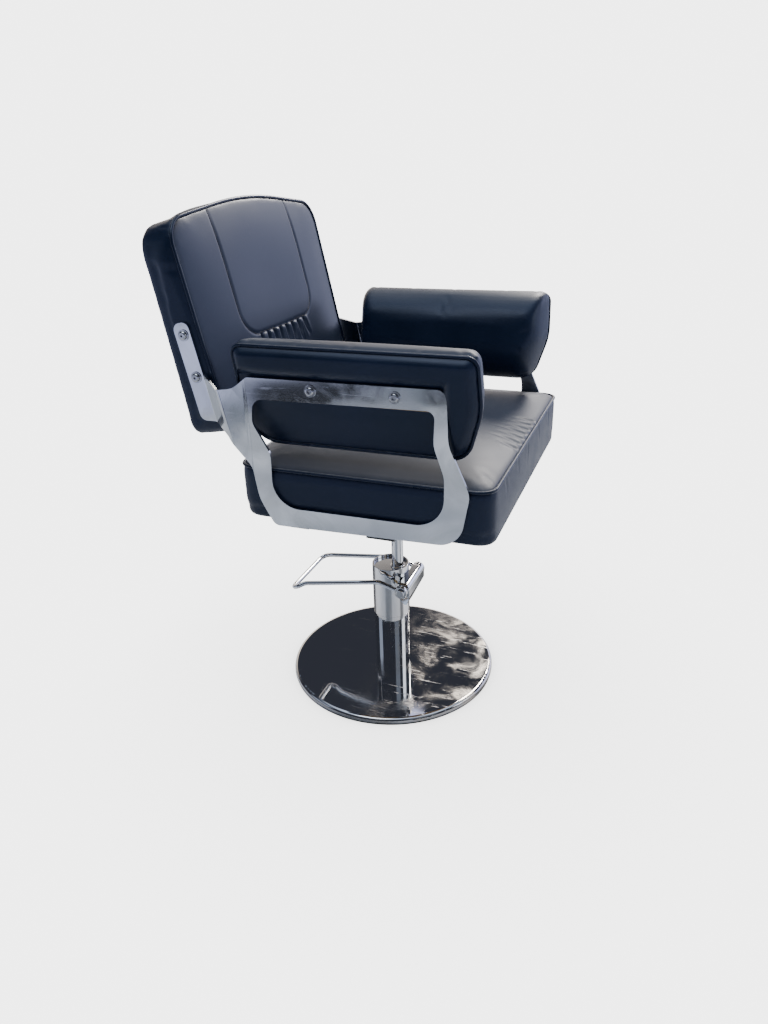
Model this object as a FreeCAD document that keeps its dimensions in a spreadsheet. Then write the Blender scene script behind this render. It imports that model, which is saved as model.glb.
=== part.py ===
import FreeCAD, Part
import Sketcher
import math
import os
import re

# A threading chair: a padded armchair with bent steel side plates on a foot-pumped hydraulic column.
# Lengths are in millimetres. +Z is up and the sitter faces -Y. The origin is on the floor, under the
# centre of the base disc. Left and right are the sitter's: left is +X.

os.makedirs("parts", exist_ok=True)
doc = FreeCAD.newDocument("ThreadingChair")

SIZES = (
    # Base
    ("BaseRadius", 225),
    ("BaseHeight", 15),
    ("BaseEdgeRadius", 8),
    ("CoverSheet", 2),
    ("RubberHeight", 4),
    ("RubberWidth", 18),
    ("RimGap", 1.5),
    ("FootHeight", 5),
    ("FootFlange", 16),
    # Pump housing
    ("ShroudRadius", 38.65),
    ("ShroudWall", 2),
    ("ShroudTop", 140),
    ("HeadStep", 1.15),
    ("HeadHeight", 118),
    ("HeadRimEdge", 0.8),
    ("CapRecess", 6),
    ("CapSheet", 6),
    ("CapEdge", 1.5),
    # Lifting cylinder, set forward of the housing's centre
    ("RodForward", 16.5),
    ("RodRadius", 12.5),
    ("CylinderRoom", 2.5),
    ("CylinderWall", 3),
    ("CylinderFloor", 2.5),
    ("GlandFlange", 10),
    ("GlandNeckWall", 3),
    ("GlandNeckHeight", 9),
    ("GlandEdge", 1.5),
    ("PistonHeight", 12),
    ("PistonAboveShroud", 6),
    ("SealHeight", 4),
    ("SealDepth", 2),
    ("ThrustWasher", 2),
    ("RunningFit", 0.05),
    ("SoftGap", 0.3),
    # Knuckle and pedal
    ("ShaftAheadOfHead", 3.9),
    ("ShaftBelowTop", 37),
    ("ShaftRadius", 6),
    ("BushWall", 2),
    ("BushLength", 14),
    ("KnuckleHalfWidth", 50),
    ("KnuckleAheadOfShaft", 16.3),
    ("KnuckleAboveShaft", 15),
    ("KnuckleBelowShaft", 53),
    ("KnuckleEdge", 11),
    ("KnuckleRoot", 8),
    ("EyeRadius", 14),
    ("EyeWidth", 10),
    ("EyeGap", 1.5),
    ("PedalWire", 5),
    ("PedalRiseRun", 38.7),
    ("PedalRise", 18),
    ("PedalKneeRun", 181),
    ("PedalKneeDrop", 9),
    ("PedalKneeSpread", 10),
    ("PedalEndRun", 28),
    ("PedalEndDrop", 22),
    ("PedalEndSpread", 16),
    ("PedalRiseBend", 14),
    ("PedalKneeBend", 26),
    ("PedalEndBend", 14),
    ("EndBoltRadius", 9),
    ("EndBoltHeight", 5),
    ("EndBoltEdge", 1.6),
    # Fork, plunger and return spring
    ("ForkRoom", 1.5),
    ("ForkWidth", 5),
    ("ForkHubRadius", 9),
    ("ForkArmHalfHeight", 5),
    ("ForkGap", 2),
    ("BridgeRadius", 6),
    ("PlungerBack", 20),
    ("PlungerRadius", 7),
    ("PlungerInBarrel", 45),
    ("PlungerHeadStep", 4.5),
    ("PlungerHeadHeight", 5),
    ("BarrelWall", 4),
    ("BarrelBelowShaft", 56),
    ("SpringWire", 2),
    ("StrokeGap", 0.3),
    # Seat mount under the cushion
    ("MountPlateWidth", 190),
    ("MountPlateEdge", 10),
    ("MountPlateSheet", 6),
    ("MountPlateCorner", 18),
    ("HubHeight", 42),
    ("HubFootWall", 7.5),
    ("HubFlare", 10),
    ("RailWidth", 50),
    ("RailSheet", 8),
    ("RailSpacing", 160),
    ("RailTabSheet", 5),
    ("RailTabHeight", 22),
    ("RailBend", 4),
    ("MountBoltInset", 20),
    ("MountBoltRadius", 4),
    ("MountBoltHeadRadius", 7),
    ("MountBoltHeadHeight", 5),
    ("BoltGap", 0.3),
    # Seat
    ("SeatFront", 291),
    ("SeatBack", 164),
    ("SeatBottom", 473),
    ("SeatBoxing", 98.5),
    ("SeatPlateGap", 0.5),
    ("SeatCorner", 28),
    ("SeatCrown", 18),
    ("SeatCrownReach", 160),
    ("SeatSideInset", 6),
    ("SeatSideInsetHeight", 24),
    ("BoardSheet", 12),
    ("BoardInset", 26),
    ("BoardCorner", 20),
    ("PipingRadius", 3),
    # Side plates
    ("PlateHalfWidth", 301),
    ("PlateSheet", 5),
    ("PlateBehindSeatFront", 38),
    ("WingAheadOfSeatBack", 30),
    ("PlateBelowSeat", 4),
    ("PlateHeight", 266),
    ("WingFlare", 6),
    ("JoggleIn", 26),
    ("JoggleBack", 40),
    ("JoggleDrop", 18),
    ("JoggleRise", 26),
    ("JoggleEdgeRadius", 12),
    ("ScoopLength", 22),
    ("WingFootRadius", 40),
    ("BendRadius", 5),
    ("SoftBendRadius", 30),
    # Backrest, in the axes of its leaning front plane
    ("BackBehindSeat", 33.6),
    ("BackAboveSeatBottom", 167),
    ("BackLean", 12.05),
    ("BackBelow", 22),
    ("BackAbove", 343),
    ("BackArch", 25),
    ("BackArchRadius", 1000),
    ("BackTopCorner", 48),
    ("BackBottomCorner", 22),
    ("BackDepth", 76),
    ("BackTaper", 2.1),
    ("BackCrown", 15),
    ("BackRearCrown", 8),
    ("BackCrownReach", 120),
    ("StripFront", 13),
    ("StripWidth", 31),
    ("StripLow", 6),
    ("StripRootHigh", 91),
    ("StripRise", 90),
    ("StripTopRadius", 13),
    ("StripRootRadius", 6),
    ("StripBoltBelowRoot", 4),
    ("StripBoltBelowTop", 21),
    ("StripBoltInset", 14.5),
    ("StripBoltLength", 30),
    # Sewn panel of the backrest's front, in the same axes
    ("PanelHalfWidth", 139),
    ("PanelFoot", 121),
    ("PanelCorner", 52),
    ("ChannelHalfWidth", 2.5),
    ("ChannelDepth", 2),
    # Armrest pads, in the axes of their leaning piping plane
    ("PadFootIn", 34),
    ("PadBelowPlateTop", 124),
    ("PadLean", 11.4),
    ("PadAheadOfPlate", 15),
    ("PadBehindPanel", 20),
    ("PadHeight", 182),
    ("PadThickness", 84),
    ("PadRoll", 62),
    ("PadOuterBulge", 3.5),
    ("PadFrontRadius", 40),
    ("PadLowRadius", 60),
    ("PadCornerRadius", 18),
    ("PadChestRadius", 120),
    ("ArmBoardSheet", 14),
    ("ArmBoardHeight", 33),
    ("ArmBoardBelowTop", 4),
    ("ArmBoardFrontInset", 63),
    ("ArmBoardBackInset", 34),
    ("ArmBoltFrontInset", 122),
    ("ArmBoltBackInset", 121),
    ("ArmBoltBelowTop", 17),
    # Visible button-head bolts
    ("ButtonRadius", 7.5),
    ("ButtonHeight", 4.2),
    ("ButtonEdge", 3),
    ("ButtonSocket", 2.6),
    ("ButtonSocketDepth", 2.4),
    ("ButtonShank", 4),
    ("WasherMargin", 2.5),
    ("WasherSheet", 1.6),
    # One overrun serves every cut
    ("Overrun", 20),
)

# Sizes and places that follow from the sizes above
WORKED_OUT = {
    # Pump housing, upwards from the shroud's top and downwards from the head's
    "HeadRadius": "ShroudRadius + HeadStep",
    "HeadTop": "ShroudTop + HeadHeight",
    "CylinderRadius": "RodRadius + CylinderRoom + CylinderWall",
    "GlandNeckRadius": "RodRadius + GlandNeckWall",
    "PistonRest": "ShroudTop + PistonAboveShroud",
    # Knuckle and pedal, from the shaft
    "ShaftForward": "HeadRadius + ShaftAheadOfHead",
    "ShaftHeight": "HeadTop - ShaftBelowTop",
    "ShaftHalfLength": "KnuckleHalfWidth + EyeGap + EyeWidth",
    "KnuckleFront": "ShaftForward + KnuckleAheadOfShaft",
    "KnuckleTop": "ShaftHeight + KnuckleAboveShaft",
    "KnuckleFoot": "ShaftHeight - KnuckleBelowShaft",
    "PedalArmHalfWidth": "ShaftHalfLength - EyeGap",
    "PedalKneeHalfWidth": "PedalArmHalfWidth + PedalKneeSpread",
    "PedalEndHalfWidth": "PedalKneeHalfWidth + PedalEndSpread",
    "PedalRiseY": "PedalRiseRun - ShaftForward",
    "PedalKneeY": "PedalRiseY + PedalKneeRun",
    "PedalEndY": "PedalKneeY + PedalEndRun",
    "PedalRiseHeight": "ShaftHeight + PedalRise",
    "PedalKneeHeight": "ShaftHeight - PedalKneeDrop",
    "PedalEndHeight": "ShaftHeight - PedalEndDrop",
    # Fork and plunger, which pass beside and behind the lifting cylinder
    "ForkInner": "CylinderRadius + ForkRoom",
    "BarrelTop": "ShaftHeight - BarrelBelowShaft",
    "PlungerFoot": "BarrelTop - PlungerInBarrel",
    "PlungerHeadRadius": "PlungerRadius + PlungerHeadStep",
    # Seat mount
    "HubFootRadius": "RodRadius + HubFootWall",
    "HubTopRadius": "HubFootRadius + HubFlare",
    "MountPlateDepth": "RailSpacing + RailWidth + 2 * MountPlateEdge",
    "MountBoltSpan": "MountPlateWidth - 2 * MountBoltInset",
    # Side plates, from the seat that they carry, and what fits between them
    "PlateFront": "SeatFront - PlateBehindSeatFront",
    "WingStart": "SeatBack - WingAheadOfSeatBack",
    "PlateLength": "PlateFront + WingStart",
    "PlateBottom": "SeatBottom - PlateBelowSeat",
    "PlateTop": "PlateBottom + PlateHeight",
    "SeatHalfWidth": "PlateHalfWidth - PlateSheet - SeatPlateGap",
    "SeatPipingHeight": "SeatBottom + SeatBoxing",
    "BackHalfWidth": "PlateHalfWidth - PlateSheet - JoggleIn",
    "BackFrontY": "SeatBack + BackBehindSeat",
    "BackHeight": "SeatBottom + BackAboveSeatBottom",
    "StripRear": "StripFront + StripWidth",
    "StripHigh": "StripRootHigh + StripRise",
    "StripBoltLow": "StripRootHigh - StripBoltBelowRoot",
    "StripBoltHigh": "StripHigh - StripBoltBelowTop",
    "StripBoltDepth": "StripFront + StripBoltInset",
    # Armrests, from the plates that they are bolted to
    "PadBottomHalfWidth": "PlateHalfWidth - PadFootIn",
    "PadBottom": "PlateTop - PadBelowPlateTop",
    "PadFront": "PlateFront + PadAheadOfPlate",
    "PadBack": "WingStart + PadBehindPanel",
    "ArmBoardHigh": "PlateTop - ArmBoardBelowTop",
    "ArmBoardLow": "ArmBoardHigh - ArmBoardHeight",
    "ArmBoardFront": "PlateFront - ArmBoardFrontInset",
    "ArmBoardBack": "WingStart - ArmBoardBackInset",
    "ArmBoltFront": "PlateFront - ArmBoltFrontInset",
    "ArmBoltBack": "WingStart - ArmBoltBackInset",
    "ArmBoltHeight": "PlateTop - ArmBoltBelowTop",
    "WasherRadius": "ButtonRadius + WasherMargin",
}

sheet = doc.addObject("Spreadsheet::Sheet", "Sizes")
for row, (alias, value) in enumerate(SIZES, 1):
    sheet.set(f"A{row}", alias)
    sheet.set(f"B{row}", str(value))
    sheet.setAlias(f"B{row}", alias)
doc.recompute()


def spelled_out(text):
    """The same expression with every worked-out name written in the sheet's own names."""
    while set(re.findall(r"[A-Z]\w*", text)) & set(WORKED_OUT):
        text = re.sub(r"\b[A-Z]\w*", lambda name: f"({WORKED_OUT.get(name.group(0), name.group(0))})", text)
    return text


def size(text):
    """The number that an expression in named sizes comes to."""
    return float(sheet.evalExpression(spelled_out(text)))


def bound(text):
    """The same expression as an object of the document writes it."""
    return re.sub(r"\b[A-Z]\w*", lambda name: "Sizes." + name.group(0), spelled_out(text))


def bind(thing, **expressions):
    for prop, text in expressions.items():
        thing.setExpression(prop.replace("__", "."), bound(text))


# Turns that lay a piece built along +Z along another axis
UPRIGHT = FreeCAD.Rotation()
ALONG_LEFT = FreeCAD.Rotation(FreeCAD.Vector(0, 1, 0), 90)
ALONG_RIGHT = FreeCAD.Rotation(FreeCAD.Vector(0, 1, 0), -90)
AXIS_NAMES = ("x", "y", "z")


def put(thing, place=("0", "0", "0"), turn=UPRIGHT):
    """Turns a piece and binds where its own origin lies."""
    thing.Placement = FreeCAD.Placement(FreeCAD.Vector(*[size(text) for text in place]), turn)
    for axis, text in zip(AXIS_NAMES, place):
        if text != "0":
            thing.setExpression("Placement.Base." + axis, bound(text))
    return thing


def new_body(label):
    body = doc.addObject("PartDesign::Body", label)
    body.Label = label
    return body


def new_sketch(body, name, role, lift="0"):
    """An empty sketch on one of the body's own planes, lifted off it along the plane's normal."""
    plane = [item for item in body.Origin.OriginFeatures if item.Role == role][0]
    sketch = body.newObject("Sketcher::SketchObject", name)
    sketch.AttachmentSupport = [(plane, "")]
    sketch.MapMode = "FlatFace"
    if lift != "0":
        sketch.setExpression("AttachmentOffset.Base.z", bound(lift))
    return sketch


def fix_point(sketch, geometry, end, across, up):
    """Holds one point of a sketch at bound distances from the sketch's origin."""
    for kind, text, axis in (("DistanceX", across, -2), ("DistanceY", up, -1)):
        if text == "0":
            sketch.addConstraint(Sketcher.Constraint("PointOnObject", geometry, end, axis))
        else:
            index = sketch.addConstraint(Sketcher.Constraint(kind, -1, 1, geometry, end, size(text)))
            sketch.setExpression(f"Constraints[{index}]", bound(text))


def draw_outline(sketch, corners):
    """Draws a closed outline through (across, up, corner radius), bound to the sheet."""
    count = len(corners)
    points = [FreeCAD.Vector(size(across), size(up), 0) for across, up, radius in corners]
    arcs = []
    starts = []
    ends = []
    for k in range(count):
        back = (points[k - 1] - points[k]).normalize()
        ahead = (points[(k + 1) % count] - points[k]).normalize()
        half = back.getAngle(ahead) / 2
        radius = size(corners[k][2])
        starts.append(points[k] + back * (radius / math.tan(half)))
        ends.append(points[k] + ahead * (radius / math.tan(half)))
        centre = points[k] + (back + ahead).normalize() * (radius / math.sin(half))
        turns_left = (back.cross(ahead)).z < 0
        arcs.append((centre, radius, turns_left))
    lines = []
    for k in range(count):
        lines.append(sketch.addGeometry(Part.LineSegment(ends[k - 1], starts[k])))
    for k in range(count):
        line = lines[k]
        following = lines[(k + 1) % count]
        centre, radius, turns_left = arcs[k]
        if radius == 0:
            sketch.addConstraint(Sketcher.Constraint("Coincident", line, 2, following, 1))
            fix_point(sketch, line, 2, corners[k][0], corners[k][1])
            continue
        first, last = (starts[k], ends[k]) if turns_left else (ends[k], starts[k])
        circle = Part.Circle(centre, FreeCAD.Vector(0, 0, 1), radius)
        arc = sketch.addGeometry(Part.ArcOfCircle(circle, circle.parameter(first), circle.parameter(last)))
        near, far = (1, 2) if turns_left else (2, 1)
        sketch.addConstraint(Sketcher.Constraint("Tangent", line, 2, arc, near))
        sketch.addConstraint(Sketcher.Constraint("Tangent", arc, far, following, 1))
        index = sketch.addConstraint(Sketcher.Constraint("Radius", arc, radius))
        sketch.setExpression(f"Constraints[{index}]", bound(corners[k][2]))
        corner = sketch.addGeometry(Part.Point(points[k]), True)
        sketch.addConstraint(Sketcher.Constraint("PointOnObject", corner, 1, line))
        sketch.addConstraint(Sketcher.Constraint("PointOnObject", corner, 1, following))
        fix_point(sketch, corner, 1, corners[k][0], corners[k][1])


def rectangle(low_x, low_y, high_x, high_y, radius="0"):
    """The four corners of an upright rectangle, counter-clockwise."""
    return (
        (low_x, low_y, radius),
        (high_x, low_y, radius),
        (high_x, high_y, radius),
        (low_x, high_y, radius),
    )


def turned(label, corners, place=("0", "0", "0"), turn=UPRIGHT):
    """A piece turned about its own Z axis from a (radius, height, corner radius) outline."""
    body = new_body(label)
    sketch = new_sketch(body, label + "_outline", "XZ_Plane")
    draw_outline(sketch, corners)
    solid = body.newObject("PartDesign::Revolution", label + "_turned")
    solid.Profile = sketch
    solid.ReferenceAxis = (sketch, ["V_Axis"])
    solid.Angle = 360
    body.Tip = solid
    return put(body, place, turn)


def padded(label, role, corners, length, holes=(), lift="0", midplane=False):
    """A body padded from an outline with holes on one of its planes."""
    body = new_body(label)
    sketch = new_sketch(body, label + "_outline", role, lift)
    draw_outline(sketch, corners)
    for hole in holes:
        draw_outline(sketch, hole)
    solid = body.newObject("PartDesign::Pad", label + "_pad")
    solid.Profile = sketch
    solid.Midplane = midplane
    bind(solid, Length=length)
    body.Tip = solid
    return body


def cylinder(name, radius, height, place=("0", "0", "0"), turn=UPRIGHT):
    solid = doc.addObject("Part::Cylinder", name)
    bind(solid, Radius=radius, Height=height)
    return put(solid, place, turn)


def block(name, low, high):
    """A box between two opposite corners."""
    solid = doc.addObject("Part::Box", name)
    length, width, height = [f"({far}) - ({near})" for near, far in zip(low, high)]
    bind(solid, Length=length, Width=width, Height=height)
    return put(solid, low)


def joined(label, *pieces):
    fuse = doc.addObject("Part::MultiFuse", label)
    fuse.Shapes = list(pieces)
    fuse.Refine = True
    return fuse


def cut_away(label, base, *tools):
    cut = doc.addObject("Part::Cut", label)
    cut.Base = base
    cut.Tool = tools[0] if len(tools) == 1 else joined(label + "_tools", *tools)
    return cut


def group(label, *pieces):
    """Separate solids that share one name, such as identical fasteners."""
    compound = doc.addObject("Part::Compound", label)
    compound.Links = list(pieces)
    return compound


def mirrored(label, source):
    """The same piece for the other side of the chair."""
    twin = doc.addObject("Part::Mirroring", label)
    twin.Source = source
    twin.Normal = FreeCAD.Vector(1, 0, 0)
    return twin


finished = []


def keep(piece):
    """Marks a piece as a sub-part to be written out under its label."""
    finished.append(piece)
    return piece


def make_base():
    """The round foot: a pressed cover over a cast weight, on a rubber ring."""
    cover_bore = "ShroudRadius + RunningFit"
    keep(turned("base_cover", (
        (cover_bore, "BaseHeight - CoverSheet", "0"),
        ("BaseRadius - CoverSheet", "BaseHeight - CoverSheet", "BaseEdgeRadius - CoverSheet"),
        ("BaseRadius - CoverSheet", "RubberHeight", "0"),
        ("BaseRadius", "RubberHeight", "0"),
        ("BaseRadius", "BaseHeight", "BaseEdgeRadius"),
        (cover_bore, "BaseHeight", "0"),
    )))
    weight_radius = "BaseRadius - CoverSheet - RimGap"
    foot_floor = "BaseHeight - CoverSheet - FootHeight"
    keep(turned("base_weight_disc", (
        ("0", "RubberHeight", "0"),
        (weight_radius, "RubberHeight", "0"),
        (weight_radius, "BaseHeight - CoverSheet", "BaseEdgeRadius - CoverSheet"),
        ("ShroudRadius + FootFlange + RimGap", "BaseHeight - CoverSheet", "0"),
        ("ShroudRadius + FootFlange + RimGap", foot_floor, "0"),
        ("0", foot_floor, "0"),
    )))
    keep(turned("base_rubber_ring", (
        ("BaseRadius - CoverSheet / 2 - RubberWidth", "0", "0"),
        ("BaseRadius - CoverSheet / 2", "0", "0"),
        ("BaseRadius - CoverSheet / 2", "RubberHeight", "0"),
        ("BaseRadius - CoverSheet / 2 - RubberWidth", "RubberHeight", "0"),
    )))
    keep(turned("pump_foot", (
        ("0", "0", "0"),
        ("ShroudRadius + FootFlange", "0", "0"),
        ("ShroudRadius + FootFlange", "FootHeight", "0"),
        ("0", "FootHeight", "0"),
    ), ("0", "0", foot_floor)))


def make_pump_housing():
    """The visible tube, its wider head with the knuckle for the pedal shaft, and the cap."""
    foot_top = "BaseHeight - CoverSheet"
    bore = "ShroudRadius - ShroudWall"
    keep(turned("pump_shroud", (
        (bore, foot_top, "0"),
        ("ShroudRadius", foot_top, "0"),
        ("ShroudRadius", "ShroudTop", "0"),
        (bore, "ShroudTop", "0"),
    )))
    sleeve = turned("head_sleeve", (
        (bore, "ShroudTop", "0"),
        ("HeadRadius", "ShroudTop", "HeadRimEdge"),
        ("HeadRadius", "HeadTop", "HeadRimEdge"),
        (bore, "HeadTop", "0"),
    ))
    # The knuckle is a block across the front of the head, drawn down to the tube below
    knuckle = padded("head_knuckle", "YZ_Plane", (
        ("-ShroudRadius + ShroudWall", "KnuckleTop", "0"),
        ("-ShroudRadius + ShroudWall", "KnuckleFoot", "0"),
        ("-HeadRadius - CoverSheet", "KnuckleFoot", "0"),
        ("-KnuckleFront", "ShaftHeight - EyeRadius", "KnuckleEdge"),
        ("-KnuckleFront", "KnuckleTop", "KnuckleEdge"),
    ), "2 * KnuckleHalfWidth", midplane=True)
    # Below the shaft the block narrows to the width of the tube
    narrowing = padded("knuckle_front_outline", "XZ_Plane", (
        ("-KnuckleHalfWidth", "ShaftHeight - EyeRadius", "KnuckleRoot"),
        ("-ShroudRadius / 2", "KnuckleFoot", "0"),
        ("ShroudRadius / 2", "KnuckleFoot", "0"),
        ("KnuckleHalfWidth", "ShaftHeight - EyeRadius", "KnuckleRoot"),
        ("KnuckleHalfWidth", "KnuckleTop", "KnuckleRoot"),
        ("-KnuckleHalfWidth", "KnuckleTop", "KnuckleRoot"),
    ), "4 * HeadRadius", midplane=True)
    shaped = doc.addObject("Part::Common", "knuckle_shaped")
    shaped.Base = knuckle
    shaped.Tool = narrowing
    # Only what lies in front of the head's bore stays of the block
    tube_bore = cylinder("head_bore", bore, "HeadTop - ShroudTop", ("0", "0", "ShroudTop"))
    block_only = cut_away("knuckle_block", shaped, tube_bore)
    shaft_bore = cylinder("shaft_bore", "ShaftRadius + BushWall", "2 * KnuckleHalfWidth + 2 * Overrun",
                          ("-KnuckleHalfWidth - Overrun", "-ShaftForward", "ShaftHeight"), ALONG_LEFT)
    pockets = []
    for side, sign in (("left", 1), ("right", -1)):
        near = "ForkInner - ForkGap"
        far = "ForkInner + ForkWidth + ForkGap"
        low, high = (near, far) if sign > 0 else ("-" + far.replace("+", "-"), "-" + near.replace("-", "+"))
        pockets.append(block("fork_pocket_" + side,
                             (low, "-ShaftForward - ForkHubRadius - ForkGap",
                              "ShaftHeight - ForkHubRadius - ForkGap"),
                             (high, "-ForkInner", "ShaftHeight + ForkHubRadius + ForkGap")))
    keep(cut_away("pump_head", joined("head_casting", sleeve, block_only), shaft_bore, *pockets))
    bushes = []
    for side, start in (("left", "KnuckleHalfWidth - BushLength"), ("right", "-KnuckleHalfWidth")):
        bushes.append(turned("shaft_bush_" + side, (
            ("ShaftRadius + RunningFit", "0", "0"),
            ("ShaftRadius + BushWall", "0", "0"),
            ("ShaftRadius + BushWall", "BushLength", "0"),
            ("ShaftRadius + RunningFit", "BushLength", "0"),
        ), (start, "-ShaftForward", "ShaftHeight"), ALONG_LEFT))
    keep(group("pedal_shaft_bushes", *bushes))
    cap_top = "HeadTop - CapRecess"
    cap = turned("cap_disc", (
        ("0", cap_top + " - CapSheet", "0"),
        (bore + " - RunningFit", cap_top + " - CapSheet", "0"),
        (bore + " - RunningFit", cap_top, "CapEdge"),
        ("0", cap_top, "0"),
    ))
    neck_bore = cylinder("cap_bore", "GlandNeckRadius + RunningFit", "HeadTop",
                         ("0", "-RodForward", "HeadTop / 2"))
    keep(cut_away("pump_top_cap", cap, neck_bore))


def make_cylinder():
    """The lifting cylinder with its gland, and the piston that the column stands on."""
    foot_top = "BaseHeight - CoverSheet"
    flange_low = "HeadTop - CapRecess - CapSheet - GlandFlange"
    bore = "CylinderRadius - CylinderWall"
    axis = ("0", "-RodForward", "0")
    keep(turned("pump_cylinder", (
        ("0", foot_top, "0"),
        ("CylinderRadius", foot_top, "0"),
        ("CylinderRadius", flange_low, "0"),
        (bore, flange_low, "0"),
        (bore, foot_top + " + CylinderFloor", "0"),
        ("0", foot_top + " + CylinderFloor", "0"),
    ), axis))
    rod_bore = "RodRadius + RunningFit"
    flange_high = flange_low + " + GlandFlange"
    keep(turned("rod_gland", (
        (rod_bore, flange_low, "0"),
        ("CylinderRadius", flange_low, "0"),
        ("CylinderRadius", flange_high, "0"),
        ("GlandNeckRadius", flange_high, "0"),
        ("GlandNeckRadius", flange_high + " + GlandNeckHeight", "GlandEdge"),
        (rod_bore, flange_high + " + GlandNeckHeight", "0"),
    ), axis))
    piston_radius = bore + " - RunningFit"
    seal_low = "(PistonHeight - SealHeight) / 2"
    seal_high = "(PistonHeight + SealHeight) / 2"
    keep(turned("piston_head", (
        ("0", "0", "0"),
        (piston_radius, "0", "0"),
        (piston_radius, seal_low, "0"),
        (piston_radius + " - SealDepth", seal_low, "0"),
        (piston_radius + " - SealDepth", seal_high, "0"),
        (piston_radius, seal_high, "0"),
        (piston_radius, "PistonHeight", "0"),
        ("0", "PistonHeight", "0"),
    ), ("0", "-RodForward", "PistonRest - PistonHeight")))
    keep(turned("piston_seal", (
        (piston_radius + " - SealDepth", seal_low, "0"),
        (piston_radius, seal_low, "0"),
        (piston_radius, seal_high, "0"),
        (piston_radius + " - SealDepth", seal_high, "0"),
    ), ("0", "-RodForward", "PistonRest - PistonHeight")))
    keep(cylinder("piston_thrust_washer", "RodRadius", "ThrustWasher", ("0", "-RodForward", "PistonRest")))


def carried(points, outwards, section):
    """A solid whose flat-sided section (across, outwards) is carried along a run of points."""
    rings = []
    for k, (point, outward) in enumerate(zip(points, outwards)):
        ahead = points[min(k + 1, len(points) - 1)] - points[max(k - 1, 0)]
        across = ahead.cross(outward).normalize()
        corners = [point + across * wide + outward * high for wide, high in section]
        rings.append(Part.makePolygon(corners + corners[:1]))
    return Part.makeLoft(rings, True, True)


SPRING_TURNS = 6
STEPS_PER_TURN = 12


def make_plunger():
    """The small pump plunger that the pedal's fork drives, in its barrel, with its return spring."""
    foot_top = "BaseHeight - CoverSheet"
    head_high = "ShaftHeight - BridgeRadius - StrokeGap"
    head_low = head_high + " - PlungerHeadHeight"
    place = ("0", "PlungerBack", "0")
    keep(turned("pump_plunger", (
        ("0", "PlungerFoot", "0"),
        ("PlungerRadius", "PlungerFoot", "0"),
        ("PlungerRadius", head_low, "0"),
        ("PlungerHeadRadius", head_low, "0"),
        ("PlungerHeadRadius", head_high, "CapEdge"),
        ("0", head_high, "0"),
    ), place))
    keep(turned("plunger_barrel", (
        ("PlungerRadius + RunningFit", foot_top + " + CylinderFloor", "0"),
        ("0", foot_top + " + CylinderFloor", "0"),
        ("0", foot_top, "0"),
        ("PlungerRadius + BarrelWall", foot_top, "0"),
        ("PlungerRadius + BarrelWall", "BarrelTop", "0"),
        ("PlungerRadius + RunningFit", "BarrelTop", "0"),
    ), place))
    # The return spring is one square wire, wound between the barrel's top and the plunger's head
    half_wire = size("SpringWire / 2")
    coil_radius = size("PlungerRadius + SoftGap + SpringWire / 2")
    coil_low = size("BarrelTop + SpringWire / 2 + SoftGap")
    coil_high = size(head_low + " - SpringWire / 2 - SoftGap")
    steps = SPRING_TURNS * STEPS_PER_TURN
    points = []
    outwards = []
    for k in range(steps + 1):
        turn = 2 * math.pi * k / STEPS_PER_TURN
        outward = FreeCAD.Vector(math.cos(turn), math.sin(turn), 0)
        outwards.append(outward)
        points.append(outward * coil_radius + FreeCAD.Vector(0, 0, (coil_high - coil_low) * k / steps))
    square = [(wide * half_wire, high * half_wire) for wide, high in ((-1, -1), (1, -1), (1, 1), (-1, 1))]
    spring = doc.addObject("Part::Feature", "plunger_spring")
    spring.Shape = carried(points, outwards, square)
    spring.Placement = FreeCAD.Placement(FreeCAD.Vector(0, size("PlungerBack"), coil_low), UPRIGHT)
    keep(spring)


def rounded_path(points, radii):
    """Straight runs through the points, joined by tangent arcs of the given radii."""
    edges = []
    last = points[0]
    for before, corner, after, radius in zip(points, points[1:], points[2:], radii):
        back = (before - corner).normalize()
        ahead = (after - corner).normalize()
        half = back.getAngle(ahead) / 2
        start = corner + back * (radius / math.tan(half))
        end = corner + ahead * (radius / math.tan(half))
        middle_way = (back + ahead).normalize()
        middle = corner + middle_way * (radius / math.sin(half) - radius)
        edges.append(Part.LineSegment(last, start).toShape())
        edges.append(Part.Arc(start, middle, end).toShape())
        last = end
    edges.append(Part.LineSegment(last, points[-1]).toShape())
    return Part.Wire(edges)


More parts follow.
